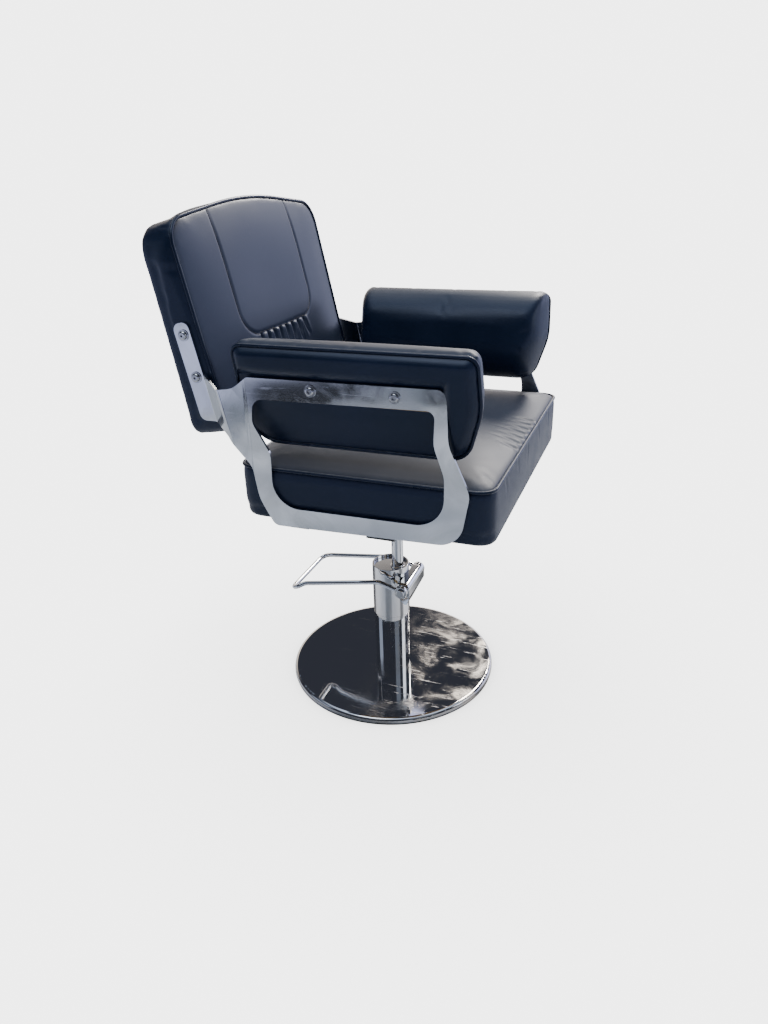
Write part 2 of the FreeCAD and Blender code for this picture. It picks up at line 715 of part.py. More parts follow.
def make_pedal():
    """The bent-wire pedal on its cross shaft, with the fork inside the head that works the plunger."""
    knuckle_axis = ("-ShaftForward", "ShaftHeight")
    keep(cylinder("pedal_shaft", "ShaftRadius", "2 * ShaftHalfLength",
                  ("-ShaftHalfLength", "-ShaftForward", "ShaftHeight"), ALONG_LEFT))
    right_run = (
        ("PedalArmHalfWidth - PedalWire", "-ShaftForward", "ShaftHeight"),
        ("PedalArmHalfWidth", "-PedalRiseY", "PedalRiseHeight"),
        ("PedalKneeHalfWidth", "PedalKneeY", "PedalKneeHeight"),
        ("PedalEndHalfWidth", "PedalEndY", "PedalEndHeight"),
    )
    bends = ("PedalRiseBend", "PedalKneeBend", "PedalEndBend")
    left_side = [FreeCAD.Vector(*[size(text) for text in place]) for place in right_run]
    right_side = [FreeCAD.Vector(-point.x, point.y, point.z) for point in reversed(left_side)]
    radii = [size(text) for text in bends]
    path = rounded_path(left_side + right_side, radii + radii[::-1])
    start = left_side[0]
    circle = Part.makeCircle(size("PedalWire"), start, left_side[1] - left_side[0])
    wire = doc.addObject("Part::Feature", "pedal_wire")
    wire.Shape = path.makePipe(Part.Face(Part.Wire(circle)))
    eyes = []
    bores = []
    for side, start in (("left", "ShaftHalfLength - EyeWidth"), ("right", "-ShaftHalfLength")):
        place = (start, *knuckle_axis)
        eyes.append(turned("pedal_eye_" + side, (
            ("0", "0", "0"),
            ("EyeRadius", "0", "GlandEdge"),
            ("EyeRadius", "EyeWidth", "GlandEdge"),
            ("0", "EyeWidth", "0"),
        ), place, ALONG_LEFT))
        bores.append(cylinder("pedal_eye_bore_" + side, "ShaftRadius", "EyeWidth + 2 * Overrun",
                              (start + " - Overrun", *knuckle_axis), ALONG_LEFT))
    keep(cut_away("pedal_loop", joined("pedal_blank", wire, *eyes), *bores))
    heads = []
    for side, start, turn in (("left", "ShaftHalfLength", ALONG_LEFT),
                              ("right", "-ShaftHalfLength", ALONG_RIGHT)):
        heads.append(turned("pedal_end_bolt_" + side, (
            ("0", "0", "0"),
            ("EndBoltRadius", "0", "0"),
            ("EndBoltRadius", "EndBoltHeight", "EndBoltEdge"),
            ("0", "EndBoltHeight", "0"),
        ), (start, *knuckle_axis), turn))
    keep(group("pedal_end_bolts", *heads))
    # The fork straddles the lifting cylinder and ends in a round bridge over the plunger
    bridge = cylinder("fork_bridge", "BridgeRadius", "2 * ForkInner + 2 * ForkWidth",
                      ("-ForkInner - ForkWidth", "PlungerBack", "ShaftHeight"), ALONG_LEFT)
    pieces = [bridge]
    for side, near, far in (("left", "ForkInner", "ForkInner + ForkWidth"),
                            ("right", "-ForkInner - ForkWidth", "-ForkInner")):
        pieces.append(block("fork_arm_" + side,
                            (near, "-ShaftForward", "ShaftHeight - ForkArmHalfHeight"),
                            (far, "PlungerBack", "ShaftHeight + ForkArmHalfHeight")))
        pieces.append(cylinder("fork_hub_" + side, "ForkHubRadius", "ForkWidth",
                               (near, *knuckle_axis), ALONG_LEFT))
    hub_bore = cylinder("fork_bore", "ShaftRadius", "2 * KnuckleHalfWidth",
                        ("-KnuckleHalfWidth", *knuckle_axis), ALONG_LEFT)
    keep(cut_away("pedal_fork", joined("fork_blank", *pieces), hub_bore))


def moved_in(corners, inset_x, inset_y, half_width):
    """An outline's corners (x, y, radius, x outwards, y outwards), each moved inwards and rounded less."""
    return [(f"({x}) - ({out_x}) * ({inset_x})", f"({y}) - ({out_y}) * ({inset_y})",
             f"({radius}) * (1 - ({inset_x}) / ({half_width}))")
            for x, y, radius, out_x, out_y in corners]


def lofted(body, name, role, corners, levels, half_width):
    """Adds a loft through the outline at several lifts, each with its own insets and, if given, tilt."""
    sketches = []
    for k, (lift, inset_x, inset_y, *tilt) in enumerate(levels):
        sketch = new_sketch(body, f"{name}_level_{k}", role, lift)
        if tilt:
            tipped = FreeCAD.Rotation(FreeCAD.Vector(1, 0, 0), size(tilt[0]))
            sketch.AttachmentOffset = FreeCAD.Placement(FreeCAD.Vector(0, 0, size(lift)), tipped)
            sketch.setExpression("AttachmentOffset.Rotation.Angle", bound(tilt[0]))
        draw_outline(sketch, moved_in(corners, inset_x, inset_y, half_width))
        sketches.append(sketch)
    solid = body.newObject("PartDesign::AdditiveLoft", name)
    solid.Profile = sketches[0]
    solid.Sections = sketches[1:]
    solid.Ruled = True
    body.Tip = solid
    return solid


def piping(label, points, place, turn):
    """A round cord of leatherette sewn along a closed flat outline, set inside its edge."""
    count = len(points)
    places = [FreeCAD.Vector(*[size(text) for text in point[:3]]) for point in points]
    radii = [size(point[3]) - size("PipingRadius") for point in points]
    seam = (places[-1] + places[0]) / 2
    path = rounded_path([seam] + places + [seam], radii)
    circle = Part.makeCircle(size("PipingRadius"), seam, places[0] - seam)
    cord = doc.addObject("Part::Feature", label)
    cord.Shape = path.makePipeShell([Part.Wire(circle)], True, False)
    return keep(put(cord, place, turn))


SEAM_INSET = "2 * PipingRadius + SoftGap"

# How the boxing draws in round the piping to its seam: shares of the piping's radius
SEAM_SHARES = ((2.3, 0.1), (1.45, 1.1), (0.97, 1.95))


def seam_levels(piping_lift):
    """The levels by which a boxing closes from its full size to the seam that holds the piping."""
    levels = []
    for below_share, inset_share in SEAM_SHARES:
        inset = f"{inset_share} * PipingRadius"
        levels.append((f"{piping_lift} - {below_share} * PipingRadius", inset, inset))
    levels.append((piping_lift, SEAM_INSET, SEAM_INSET))
    return tuple(levels)


# How a crown rises (share of its height) as it leaves its seam (share of its reach)
CROWN_SHARES = ((0.24, 0.02), (0.44, 0.07), (0.6, 0.15), (0.74, 0.27), (0.86, 0.44), (0.95, 0.68), (1.0, 1.0))


def crown_levels(start, height, reach):
    """The levels of a crown that rises from a seam towards the middle of its panel."""
    levels = []
    for rise_share, reach_share in CROWN_SHARES:
        inset = f"{SEAM_INSET} + {reach_share} * {reach}"
        levels.append((f"{start} + {rise_share} * {height}", inset, inset))
    return tuple(levels)


def make_seat_mount():
    """The steel mount that joins the column to two cross rails welded between the side plates."""
    rail_low = "SeatBottom - RailSheet"
    plate_low = rail_low + " - MountPlateSheet"
    hub_low = plate_low + " - HubHeight"
    rod_low = "PistonRest + ThrustWasher"
    keep(turned("piston_rod", (
        ("0", rod_low, "0"),
        ("RodRadius", rod_low, "0"),
        ("RodRadius", plate_low, "0"),
        ("0", plate_low, "0"),
    ), ("0", "-RodForward", "0")))
    hub = turned("mount_hub", (
        ("RodRadius + RunningFit", hub_low, "0"),
        ("HubFootRadius", hub_low, "GlandEdge"),
        ("HubTopRadius", plate_low, "0"),
        ("RodRadius + RunningFit", plate_low, "0"),
    ), ("0", "-RodForward", "0"))
    plate = padded("mount_plate_blank", "XY_Plane",
                   rectangle("-MountPlateWidth / 2", "-MountPlateDepth / 2", "MountPlateWidth / 2",
                             "MountPlateDepth / 2", "MountPlateCorner"), "MountPlateSheet")
    put(plate, ("0", "-RodForward", plate_low))
    bolts = []
    holes = []
    rails = {}
    inner = "PlateHalfWidth - PlateSheet"
    tab_top = "SeatBottom + RailTabHeight - RailBend"
    for end, sign in (("front", "-"), ("rear", "+")):
        rail_y = f"-RodForward {sign} RailSpacing / 2"
        rail = padded("rail_" + end, "XZ_Plane", (
            (f"-({inner})", rail_low, "RailBend"),
            (inner, rail_low, "RailBend"),
            (inner, tab_top, "0"),
            (f"{inner} - RailTabSheet", tab_top, "0"),
            (f"{inner} - RailTabSheet", "SeatBottom", "RailBend / 2"),
            (f"-({inner}) + RailTabSheet", "SeatBottom", "RailBend / 2"),
            (f"-({inner}) + RailTabSheet", tab_top, "0"),
            (f"-({inner})", tab_top, "0"),
        ), "RailWidth", midplane=True)
        rails[end] = put(rail, ("0", rail_y, "0"))
        for side, across in (("left", "MountBoltSpan / 2"), ("right", "-MountBoltSpan / 2")):
            bolts.append(turned(f"mount_bolt_{end}_{side}", (
                ("0", "-MountBoltHeadHeight", "0"),
                ("MountBoltHeadRadius", "-MountBoltHeadHeight", "0"),
                ("MountBoltHeadRadius", "0", "0"),
                ("MountBoltRadius", "0", "0"),
                ("MountBoltRadius", "MountPlateSheet + RailSheet", "0"),
                ("0", "MountPlateSheet + RailSheet", "0"),
            ), (across, rail_y, plate_low)))
            holes.append(cylinder(f"mount_hole_{end}_{side}", "MountBoltRadius + RunningFit", "2 * Overrun",
                                  (across, rail_y, f"{plate_low} - Overrun / 2")))
    keep(group("mount_bolts", *bolts))
    keep(cut_away("seat_mount", joined("mount_blank", plate, hub), *holes))
    keep(cut_away("cross_rail_front", rails["front"], *holes[:2]))
    keep(cut_away("cross_rail_rear", rails["rear"], *holes[2:]))


def make_seat():
    """The seat cushion on its board, with piping round the edge of its top."""
    corners = (
        ("-SeatHalfWidth", "-SeatFront", "SeatCorner", -1, -1),
        ("SeatHalfWidth", "-SeatFront", "SeatCorner", 1, -1),
        ("SeatHalfWidth", "SeatBack", "SeatCorner", 1, 1),
        ("-SeatHalfWidth", "SeatBack", "SeatCorner", -1, 1),
    )
    side_top = "SeatBottom + SeatSideInsetHeight"
    blank = new_body("seat_blank")
    lofted(blank, "seat_boxing", "XY_Plane", corners, (
        ("SeatBottom", "SeatSideInset + RailBend", "RailBend"),
        ("SeatBottom + RailBend", "SeatSideInset", "SoftGap"),
        (side_top, "SeatSideInset", "SoftGap"),
        (side_top + " + SeatSideInset", "SoftGap", "SoftGap"),
    ) + seam_levels("SeatPipingHeight") + crown_levels("SeatPipingHeight", "SeatCrown", "SeatCrownReach"),
           "SeatHalfWidth")
    low = ("-SeatHalfWidth + BoardInset", "-SeatFront + BoardInset")
    high = ("SeatHalfWidth - BoardInset", "SeatBack - BoardInset")
    board = padded("seat_board", "XY_Plane", rectangle(*low, *high, "BoardCorner"), "BoardSheet")
    keep(put(board, ("0", "0", "SeatBottom")))
    pocket = padded("board_pocket", "XY_Plane",
                    rectangle(*[text + " - SoftGap" for text in low], *[text + " + SoftGap" for text in high],
                              "BoardCorner"), "BoardSheet + SoftGap + Overrun")
    put(pocket, ("0", "0", "SeatBottom - Overrun"))
    keep(cut_away("seat_cushion", blank, pocket))
    line = "SeatHalfWidth - PipingRadius"
    piping("seat_piping", (
        (line, "-SeatFront + PipingRadius", "0", "SeatCorner"),
        (line, "SeatBack - PipingRadius", "0", "SeatCorner"),
        (f"-({line})", "SeatBack - PipingRadius", "0", "SeatCorner"),
        (f"-({line})", "-SeatFront + PipingRadius", "0", "SeatCorner"),
    ), ("0", "0", "SeatPipingHeight"), UPRIGHT)


def on_back(along, depth):
    """The (y, z) of a point given along the backrest's leaning front plane and behind it."""
    return (f"BackFrontY + sin(BackLean) * ({along}) + cos(BackLean) * ({depth})",
            f"BackHeight + cos(BackLean) * ({along}) - sin(BackLean) * ({depth})")


def on_panel(length_share, height_share, radius_share):
    """A corner of the side plate's flat panel, in shares of its length and height."""
    return (f"-PlateFront + {length_share} * PlateLength",
            f"PlateBottom + {height_share} * PlateHeight",
            f"{radius_share} * PlateHeight")


# Shares of the flat panel's length and height, and of its height for each corner's radius
PANEL_FOOT_SHARES = ((0.044, 0.026, 0.17), (0.912, 0.0, 0.06), (0.979, 0.184, 0.3))
PANEL_FRONT_SHARES = ((0.101, 1.0, 0.06), (0.093, 0.673, 0.25), (0.0, 0.372, 0.14))
WINDOW_SHARES = ((0.111, 0.14, 0.19), (0.912, 0.135, 0.18), (0.902, 0.5, 0.16), (0.98, 0.7, 0.1),
                 (0.967, 0.857, 0.08), (0.148, 0.872, 0.05), (0.155, 0.662, 0.2), (0.109, 0.47, 0.2))
WING_FOOT_SHARE = 0.406
WING_TOP_SHARE = 0.993
SCOOP_SHARES = (0.915, 0.15)


def make_side_plates():
    """The bent side plates: a flat arm frame, a flared wing, a joggle inwards and the backrest's strip."""
    low_strip = "StripLow"
    outline = [on_panel(*shares) for shares in PANEL_FOOT_SHARES]
    outline.append(("WingStart", f"PlateBottom + {WING_FOOT_SHARE} * PlateHeight", "WingFootRadius"))
    outline.append((*on_back("-JoggleDrop", "StripFront - JoggleBack + JoggleDrop / 3"), "JoggleEdgeRadius"))
    outline.append((*on_back(low_strip, "StripFront + PlateSheet / 2"), "JoggleEdgeRadius"))
    outline.append((*on_back("2 * " + low_strip, "StripRear"), "StripTopRadius"))
    outline.append((*on_back("StripHigh", "StripRear"), "StripTopRadius"))
    outline.append((*on_back("StripHigh", "StripFront"), "StripTopRadius"))
    outline.append((*on_back("StripRootHigh", "StripFront"), "StripRootRadius"))
    outline.append((*on_back("StripRootHigh - JoggleRise", "StripFront - JoggleBack + PlateSheet / 2"),
                    "JoggleEdgeRadius"))
    outline.append(("WingStart + ScoopLength", f"PlateBottom + {SCOOP_SHARES[0]} * PlateHeight",
                    f"{SCOOP_SHARES[1]} * PlateHeight"))
    outline.append(("WingStart - PlateSheet", f"PlateBottom + {WING_TOP_SHARE} * PlateHeight", "JoggleEdgeRadius"))
    outline += [on_panel(*shares) for shares in PANEL_FRONT_SHARES]
    window = [on_panel(*shares) for shares in WINDOW_SHARES]
    silhouette = padded("plate_silhouette", "YZ_Plane", outline, "PlateHalfWidth + Overrun", (window,))
    # The flat panel is everything in front of the first bend
    panel_zone = block("panel_zone", ("PlateHalfWidth - PlateSheet", "-PlateFront - Overrun", "PlateBottom - Overrun"),
                       ("PlateHalfWidth", "WingStart", "PlateBottom + PlateHeight + Overrun"))
    # Behind it the sheet follows the same bends at every height, leaning with the backrest
    strip_x = size("BackHalfWidth + PlateSheet")
    flared_x = size("PlateHalfWidth + WingFlare")
    plate_x = size("PlateHalfWidth")
    wing_y = size("WingStart")
    sections = []
    heights = (size(f"PlateBottom + {WING_FOOT_SHARE} * PlateHeight - Overrun"),
               size(on_back("StripHigh", "0")[1] + " + Overrun"))
    for height in heights:
        bend_y = size(f"BackFrontY + StripFront / cos(BackLean) + tan(BackLean) * ({height} - BackHeight)")
        places = (
            FreeCAD.Vector(plate_x, wing_y - size("JoggleBack"), height),
            FreeCAD.Vector(plate_x, wing_y, height),
            FreeCAD.Vector(flared_x, bend_y - size("JoggleBack"), height),
            FreeCAD.Vector(strip_x, bend_y, height),
            FreeCAD.Vector(strip_x, bend_y + size("StripRear + Overrun"), height),
        )
        radii = [size(text) for text in ("SoftBendRadius", "BendRadius + PlateSheet", "BendRadius")]
        outer = rounded_path(places, radii)
        face = outer.makeOffset2D(size("PlateSheet"), 0, True, True)
        if face.BoundBox.XMax > outer.BoundBox.XMax + size("SoftGap"):
            face = outer.makeOffset2D(-size("PlateSheet"), 0, True, True)
        sections.append(face.OuterWire)
    bent_zone = doc.addObject("Part::Feature", "bent_zone")
    bent_zone.Shape = Part.makeLoft(sections, True, True)
    sheet_zone = joined("sheet_zone", panel_zone, bent_zone)
    blank = doc.addObject("Part::Common", "plate_blank")
    blank.Base = silhouette
    blank.Tool = sheet_zone
    blank.Refine = True
    holes = []
    for name, y in (("front", "-ArmBoltFront"), ("back", "ArmBoltBack")):
        holes.append(cylinder("arm_hole_" + name, "ButtonShank + BoltGap", "2 * Overrun",
                              ("PlateHalfWidth - Overrun", y, "ArmBoltHeight"), ALONG_LEFT))
    for name, along in (("low", "StripBoltLow"), ("high", "StripBoltHigh")):
        holes.append(cylinder("strip_hole_" + name, "ButtonShank + BoltGap", "2 * Overrun",
                              ("BackHalfWidth - Overrun / 2", *on_back(along, "StripBoltDepth")), ALONG_LEFT))
    left = keep(cut_away("side_plate_left", blank, *holes))
    keep(mirrored("side_plate_right", left))


def button_bolts(label, face_x, places, length):
    """Button-head bolts with their washers on both sides of the chair, seated on a plate's face."""
    for side, sign, turn in (("left", "", ALONG_LEFT), ("right", "-", ALONG_RIGHT)):
        bolts = []
        washers = []
        for k, (y, z) in enumerate(places):
            seat = f"{sign}({face_x})"
            washers.append(turned(f"{label}_washer_{side}_{k}", (
                ("ButtonShank + BoltGap", "0", "0"),
                ("WasherRadius", "0", "0"),
                ("WasherRadius", "WasherSheet", "0"),
                ("ButtonShank + BoltGap", "WasherSheet", "0"),
            ), (seat, y, z), turn))
            bolts.append(turned(f"{label}_bolt_{side}_{k}", (
                ("0", f"-({length})", "0"),
                ("ButtonShank", f"-({length})", "0"),
                ("ButtonShank", "0", "0"),
                ("ButtonRadius", "0", "0"),
                ("ButtonRadius", "ButtonHeight", "ButtonEdge"),
                ("ButtonSocket", "ButtonHeight", "0"),
                ("ButtonSocket", "ButtonHeight - ButtonSocketDepth", "0"),
                ("0", "ButtonHeight - ButtonSocketDepth", "0"),
            ), (f"{sign}({face_x} + WasherSheet)", y, z), turn))
        keep(group(f"{label}_bolts_{side}", *bolts))
        keep(group(f"{label}_washers_{side}", *washers))


def make_armrests():
    """The armrest pads with their hidden boards, their piping and their bolts."""
    length = "(PadFront + PadBack)"
    corners = [(f"-PadFront + {u} * {length}", f"{v} * PadHeight", radius, out_u, out_v)
               for u, v, radius, out_u, out_v in PAD_SHARES]
    lean = FreeCAD.Rotation(FreeCAD.Vector(0, 1, 0), size("PadLean"))
    place = ("PadBottomHalfWidth", "0", "PadBottom")
    blank = new_body("pad_blank")
    lofted(blank, "pad_body", "YZ_Plane", corners, tuple(
        (f"-{depth_share} * PadThickness", f"{inset_share} * PadRoll", f"{inset_share} * PadRoll")
        for depth_share, inset_share in PAD_LEVEL_SHARES) + seam_levels("0") + (
        ("PadOuterBulge / 2", "2 * (2 * PipingRadius)", "2 * (2 * PipingRadius)"),
        ("PadOuterBulge", "PadThickness / 4", "PadThickness / 4"),
    ), "(PadHeight / 2)")
    put(blank, place, lean)
    blank.setExpression("Placement.Rotation.Angle", bound("PadLean"))
    inner = "PlateHalfWidth - PlateSheet"
    board_low = (f"{inner} - ArmBoardSheet", "-ArmBoardFront", "ArmBoardLow")
    board_high = (inner, "ArmBoardBack", "ArmBoardHigh")
    board = block("arm_board_blank", board_low, board_high)
    pocket = block("arm_board_pocket", [text + " - SoftGap" for text in board_low],
                   ("PlateHalfWidth + Overrun", *[text + " + SoftGap" for text in board_high[1:]]))
    holes = []
    for name, y in (("front", "-ArmBoltFront"), ("back", "ArmBoltBack")):
        holes.append(cylinder("board_hole_" + name, "ButtonShank + RunningFit", "PlateSheet + ArmBoardSheet",
                              (f"{inner} - ArmBoardSheet + RailBend", y, "ArmBoltHeight"), ALONG_LEFT))
    left_board = keep(cut_away("armrest_board_left", board, *holes))
    keep(mirrored("armrest_board_right", left_board))
    left_pad = keep(cut_away("armrest_pad_left", blank, pocket))
    keep(mirrored("armrest_pad_right", left_pad))
    points = [("0", f"({y}) - ({out_y}) * PipingRadius", f"({z}) - ({out_z}) * PipingRadius", radius)
              for y, z, radius, out_y, out_z in corners]
    cord = piping("armrest_piping_left", points, place, lean)
    keep(mirrored("armrest_piping_right", cord))
    button_bolts("armrest", "PlateHalfWidth", (("-ArmBoltFront", "ArmBoltHeight"), ("ArmBoltBack", "ArmBoltHeight")),
                 "WasherSheet + PlateSheet + ArmBoardSheet - RailBend - SoftGap")


# The pad's outline seen from the side: shares of its length and height, radius, and outward signs
PAD_SHARES = (
    (0.066, 0.0, "PadFrontRadius", -0.6, -1),
    (0.872, 0.0, "PadLowRadius", 0.5, -1),
    (1.0, 0.165, "PadCornerRadius", 1, -0.6),
    (1.0, 1.0, "PadCornerRadius", 1, 1),
    (0.0095, 1.0, "PadCornerRadius", -1, 1),
    (0.0, 0.5, "PadChestRadius", -1, 0),
)
# How the pad's inner side rolls in: shares of its thickness and of its roll
PAD_LEVEL_SHARES = ((1.0, 1.0), (0.94, 0.8), (0.86, 0.64), (0.76, 0.48), (0.64, 0.33), (0.5, 0.19), (0.36, 0.1),
                    (0.22, 0.035))


# The arch of the backrest flattens a little as its outline moves in
ARCH_SHARE = 1.1
# How the back closes from its rear crown to its boxing: shares of the rear crown and of the crown's reach
REAR_SHARES = ((1.0, 1.0), (0.8, 0.5), (0.3, 0.14))
REAR_EDGE_SHARE = 0.3
CORNER_STEPS = 6


def panel_channel():
    """The sewn channel round the backrest's middle panel: down one side, across and up the other."""
    half_width = size("PanelHalfWidth")
    edge = size("BackAbove + BackArch * (1 - PanelHalfWidth / BackHalfWidth) - " + SEAM_INSET)
    corner = size("PanelCorner")
    side = [(half_width, edge + size("Overrun"), 0)]
    for rise_share, reach_share in CROWN_SHARES:
        side.append((half_width, edge - reach_share * size("BackCrownReach"), rise_share * size("BackCrown")))
    for k in range(CORNER_STEPS + 1):
        turn = math.pi / 2 * k / CORNER_STEPS
        side.append((half_width - corner * (1 - math.cos(turn)),
                     size("PanelFoot") + corner * (1 - math.sin(turn)), size("BackCrown")))
    run = side + [(-x, along, rise) for x, along, rise in reversed(side)]
    points = [FreeCAD.Vector(x, -rise, along) for x, along, rise in run]
    wide = size("ChannelHalfWidth")
    deep = size("ChannelDepth")
    channel = doc.addObject("Part::Feature", "panel_channel")
    forward = FreeCAD.Vector(0, -1, 0)
    channel.Shape = carried(points, [forward] * len(points), ((-wide, deep), (0, -deep), (wide, deep)))
    return channel


def make_backrest():
    """The leaning backrest with its arched top, bolted between the strips of the side plates."""
    corners = (
        ("-BackHalfWidth", "-BackBelow", "BackBottomCorner", -1, -1),
        ("BackHalfWidth", "-BackBelow", "BackBottomCorner", 1, -1),
        ("BackHalfWidth", "BackAbove", "BackTopCorner", 1, 1),
        ("0", "BackAbove + BackArch", "BackArchRadius", 0, ARCH_SHARE),
        ("-BackHalfWidth", "BackAbove", "BackTopCorner", -1, 1),
    )
    lean = FreeCAD.Rotation(FreeCAD.Vector(-1, 0, 0), size("BackLean"))
    place = ("0", "BackFrontY", "BackHeight")
    edge = "(BackBottomCorner / 2)"
    blank = new_body("back_blank")
    rear = tuple((f"-BackDepth - {rise_share} * BackRearCrown", f"{reach_share} * BackCrownReach",
                  f"{reach_share} * BackCrownReach", "BackTaper") for rise_share, reach_share in REAR_SHARES)
    lofted(blank, "back_boxing", "XZ_Plane", corners, rear + (
        (f"-BackDepth + {REAR_EDGE_SHARE} * {edge}", f"{REAR_EDGE_SHARE} * {edge}",
         f"{REAR_EDGE_SHARE} * {edge}", "BackTaper"),
        ("-BackDepth + " + edge, "SoftGap", "SoftGap", "BackTaper"),
    ) + seam_levels("0") + crown_levels("0", "BackCrown", "BackCrownReach"),
           "BackHalfWidth")
    put(blank, place, lean)
    blank.setExpression("Placement.Rotation.Angle", bound("BackLean"))
    holes = []
    for name, along in (("low", "StripBoltLow"), ("high", "StripBoltHigh")):
        holes.append(cylinder("back_hole_" + name, "ButtonShank + SoftGap", "2 * BackHalfWidth",
                              ("-BackHalfWidth", *on_back(along, "StripBoltDepth")), ALONG_LEFT))
    core = block("back_hole_limit", ("-BackHalfWidth + StripBoltLength + SoftGap", "BackFrontY", "SeatBottom"),
                 ("BackHalfWidth - StripBoltLength - SoftGap", "BackFrontY + 2 * BackDepth", "2 * BackHeight"))
    channel = put(panel_channel(), place, lean)
    bolt_room = cut_away("back_holes", joined("back_hole_rods", *holes), core)
    keep(cut_away("backrest_cushion", cut_away("back_sewn", blank, channel), bolt_room))
    points = [(f"({x}) - ({out_x}) * PipingRadius", "0", f"({z}) - ({out_z}) * PipingRadius", radius)
              for x, z, radius, out_x, out_z in corners]
    piping("backrest_piping", points, place, lean)
    button_bolts("backrest", "BackHalfWidth + PlateSheet",
                 (on_back("StripBoltLow", "StripBoltDepth"), on_back("StripBoltHigh", "StripBoltDepth")),
                 "WasherSheet + PlateSheet + StripBoltLength")


def check_and_write():
    """Writes each sub-part after checking that the document computed cleanly."""
    doc.recompute()
    failed = [item.Name for item in doc.Objects if "Invalid" in item.State or "Error" in item.State]
    if failed:
        raise RuntimeError("failed: " + ", ".join(failed))
    for piece in finished:
        shape = piece.Shape
        if shape.isNull() or not shape.isValid() or not shape.Solids:
            raise RuntimeError("bad shape: " + piece.Label)
    for piece in finished:
        box = piece.Shape.BoundBox
        print(f"{piece.Label:28s} {len(piece.Shape.Solids):2d} {piece.Shape.Volume / 1e3:10.1f}",
              [round(edge, 1) for edge in (box.XMin, box.XMax, box.YMin, box.YMax, box.ZMin, box.ZMax)])
        piece.Shape.exportStep("parts/" + piece.Label + ".step")


make_base()
make_pump_housing()
make_cylinder()
make_plunger()
make_pedal()
make_seat_mount()
make_seat()
make_side_plates()
make_armrests()
make_backrest()
check_and_write()
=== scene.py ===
import math

import bmesh
import bpy
import numpy as np
from mathutils import Matrix, Vector


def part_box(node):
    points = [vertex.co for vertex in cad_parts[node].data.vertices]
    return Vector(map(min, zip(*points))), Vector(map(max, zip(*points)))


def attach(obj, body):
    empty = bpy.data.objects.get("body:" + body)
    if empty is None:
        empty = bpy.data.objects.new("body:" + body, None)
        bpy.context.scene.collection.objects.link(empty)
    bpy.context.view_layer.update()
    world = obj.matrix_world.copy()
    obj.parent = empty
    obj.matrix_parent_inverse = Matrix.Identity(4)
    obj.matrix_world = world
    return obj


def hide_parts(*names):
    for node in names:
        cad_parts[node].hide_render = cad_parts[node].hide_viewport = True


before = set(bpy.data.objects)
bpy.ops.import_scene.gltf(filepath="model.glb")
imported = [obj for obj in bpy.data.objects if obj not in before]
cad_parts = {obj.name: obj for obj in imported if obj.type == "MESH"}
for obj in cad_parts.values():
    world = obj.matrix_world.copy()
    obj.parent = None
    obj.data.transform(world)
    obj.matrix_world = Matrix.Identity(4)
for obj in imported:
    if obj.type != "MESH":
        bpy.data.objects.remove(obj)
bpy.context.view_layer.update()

# A threading chair in near-black leatherette with polished steel side plates and a chromed pump base.
# Lengths are in metres. +Z is up, the sitter faces -Y, and the side that the camera sees is -X.

MM = 0.001


# Camera and light

FOCAL_PIXELS = 768.7
LONG_SIDE_PIXELS = 1024
SENSOR = 36.0
CAMERA_PLACE = Vector((-1.3758, -0.5329, 1.0467))
CAMERA_YAW = -1.194
CAMERA_PITCH = -0.426
CAMERA_ROLL = -0.032
NEAREST_SEEN = 0.05
BACKDROP = (4.5, 4.5, 4.5, 1)
CHAIR_MIDDLE = (0, 0, 0.6)

# Name, place, width and height, watts and colour of each lamp
LAMPS = (
    ("low_sun", (2.5, -0.3, 2.4), (0.8, 0.8), 106, (1.0, 0.95, 0.88)),
    ("high_near", (-0.9, 0.3, 2.6), (1.0, 1.0), 11, (0.85, 0.92, 1.0)),
    ("front", (0.5, -2.8, 1.5), (1.2, 1.4), 13, (0.88, 0.93, 1.0)),
    ("rear_side", (-1.3, 2.6, 1.4), (1.4, 1.2), 3.5, (0.7, 0.8, 1.0)),
    ("near_side", (-1.6, -2.0, 1.5), (1.3, 1.1), 1.2, (0.75, 0.85, 1.0)),
)

# The surroundings, by the parts of a direction that point across (+X), back (+Y) and up, each from -1 to 1
LOW_SKY = (0.05, 0.055, 0.072, 1)
HIGH_SKY = (1.7, 2.0, 2.5, 1)
HIGH_SKY_UP = (0.75, 0.97)
BAND_RISE_UP = (-0.06, 0.02)
BAND_FALL_UP = (0.34, 0.5)
BAND_ACROSS = (0.2, 0.75)
BAND_BACK = (-0.35, 0.4)
BAND_FRONT = (1.55, 1.65, 2.35, 1)
BAND_REAR = (2.3, 2.05, 1.75, 1)
HAZE = (0.7, 0.77, 1.1, 1)
HAZE_UP = (-0.25, -0.235)
HAZE_ACROSS = (-0.83, -0.78)
DARK_GROUND = (0.025, 0.028, 0.036, 1)
LIT_GROUND = (0.2, 0.23, 0.28, 1)
PATCH_SCALE = 11.0
PATCH_EDGE = (0.52, 0.6)
HORIZON_UP = (-0.05, 0.0)


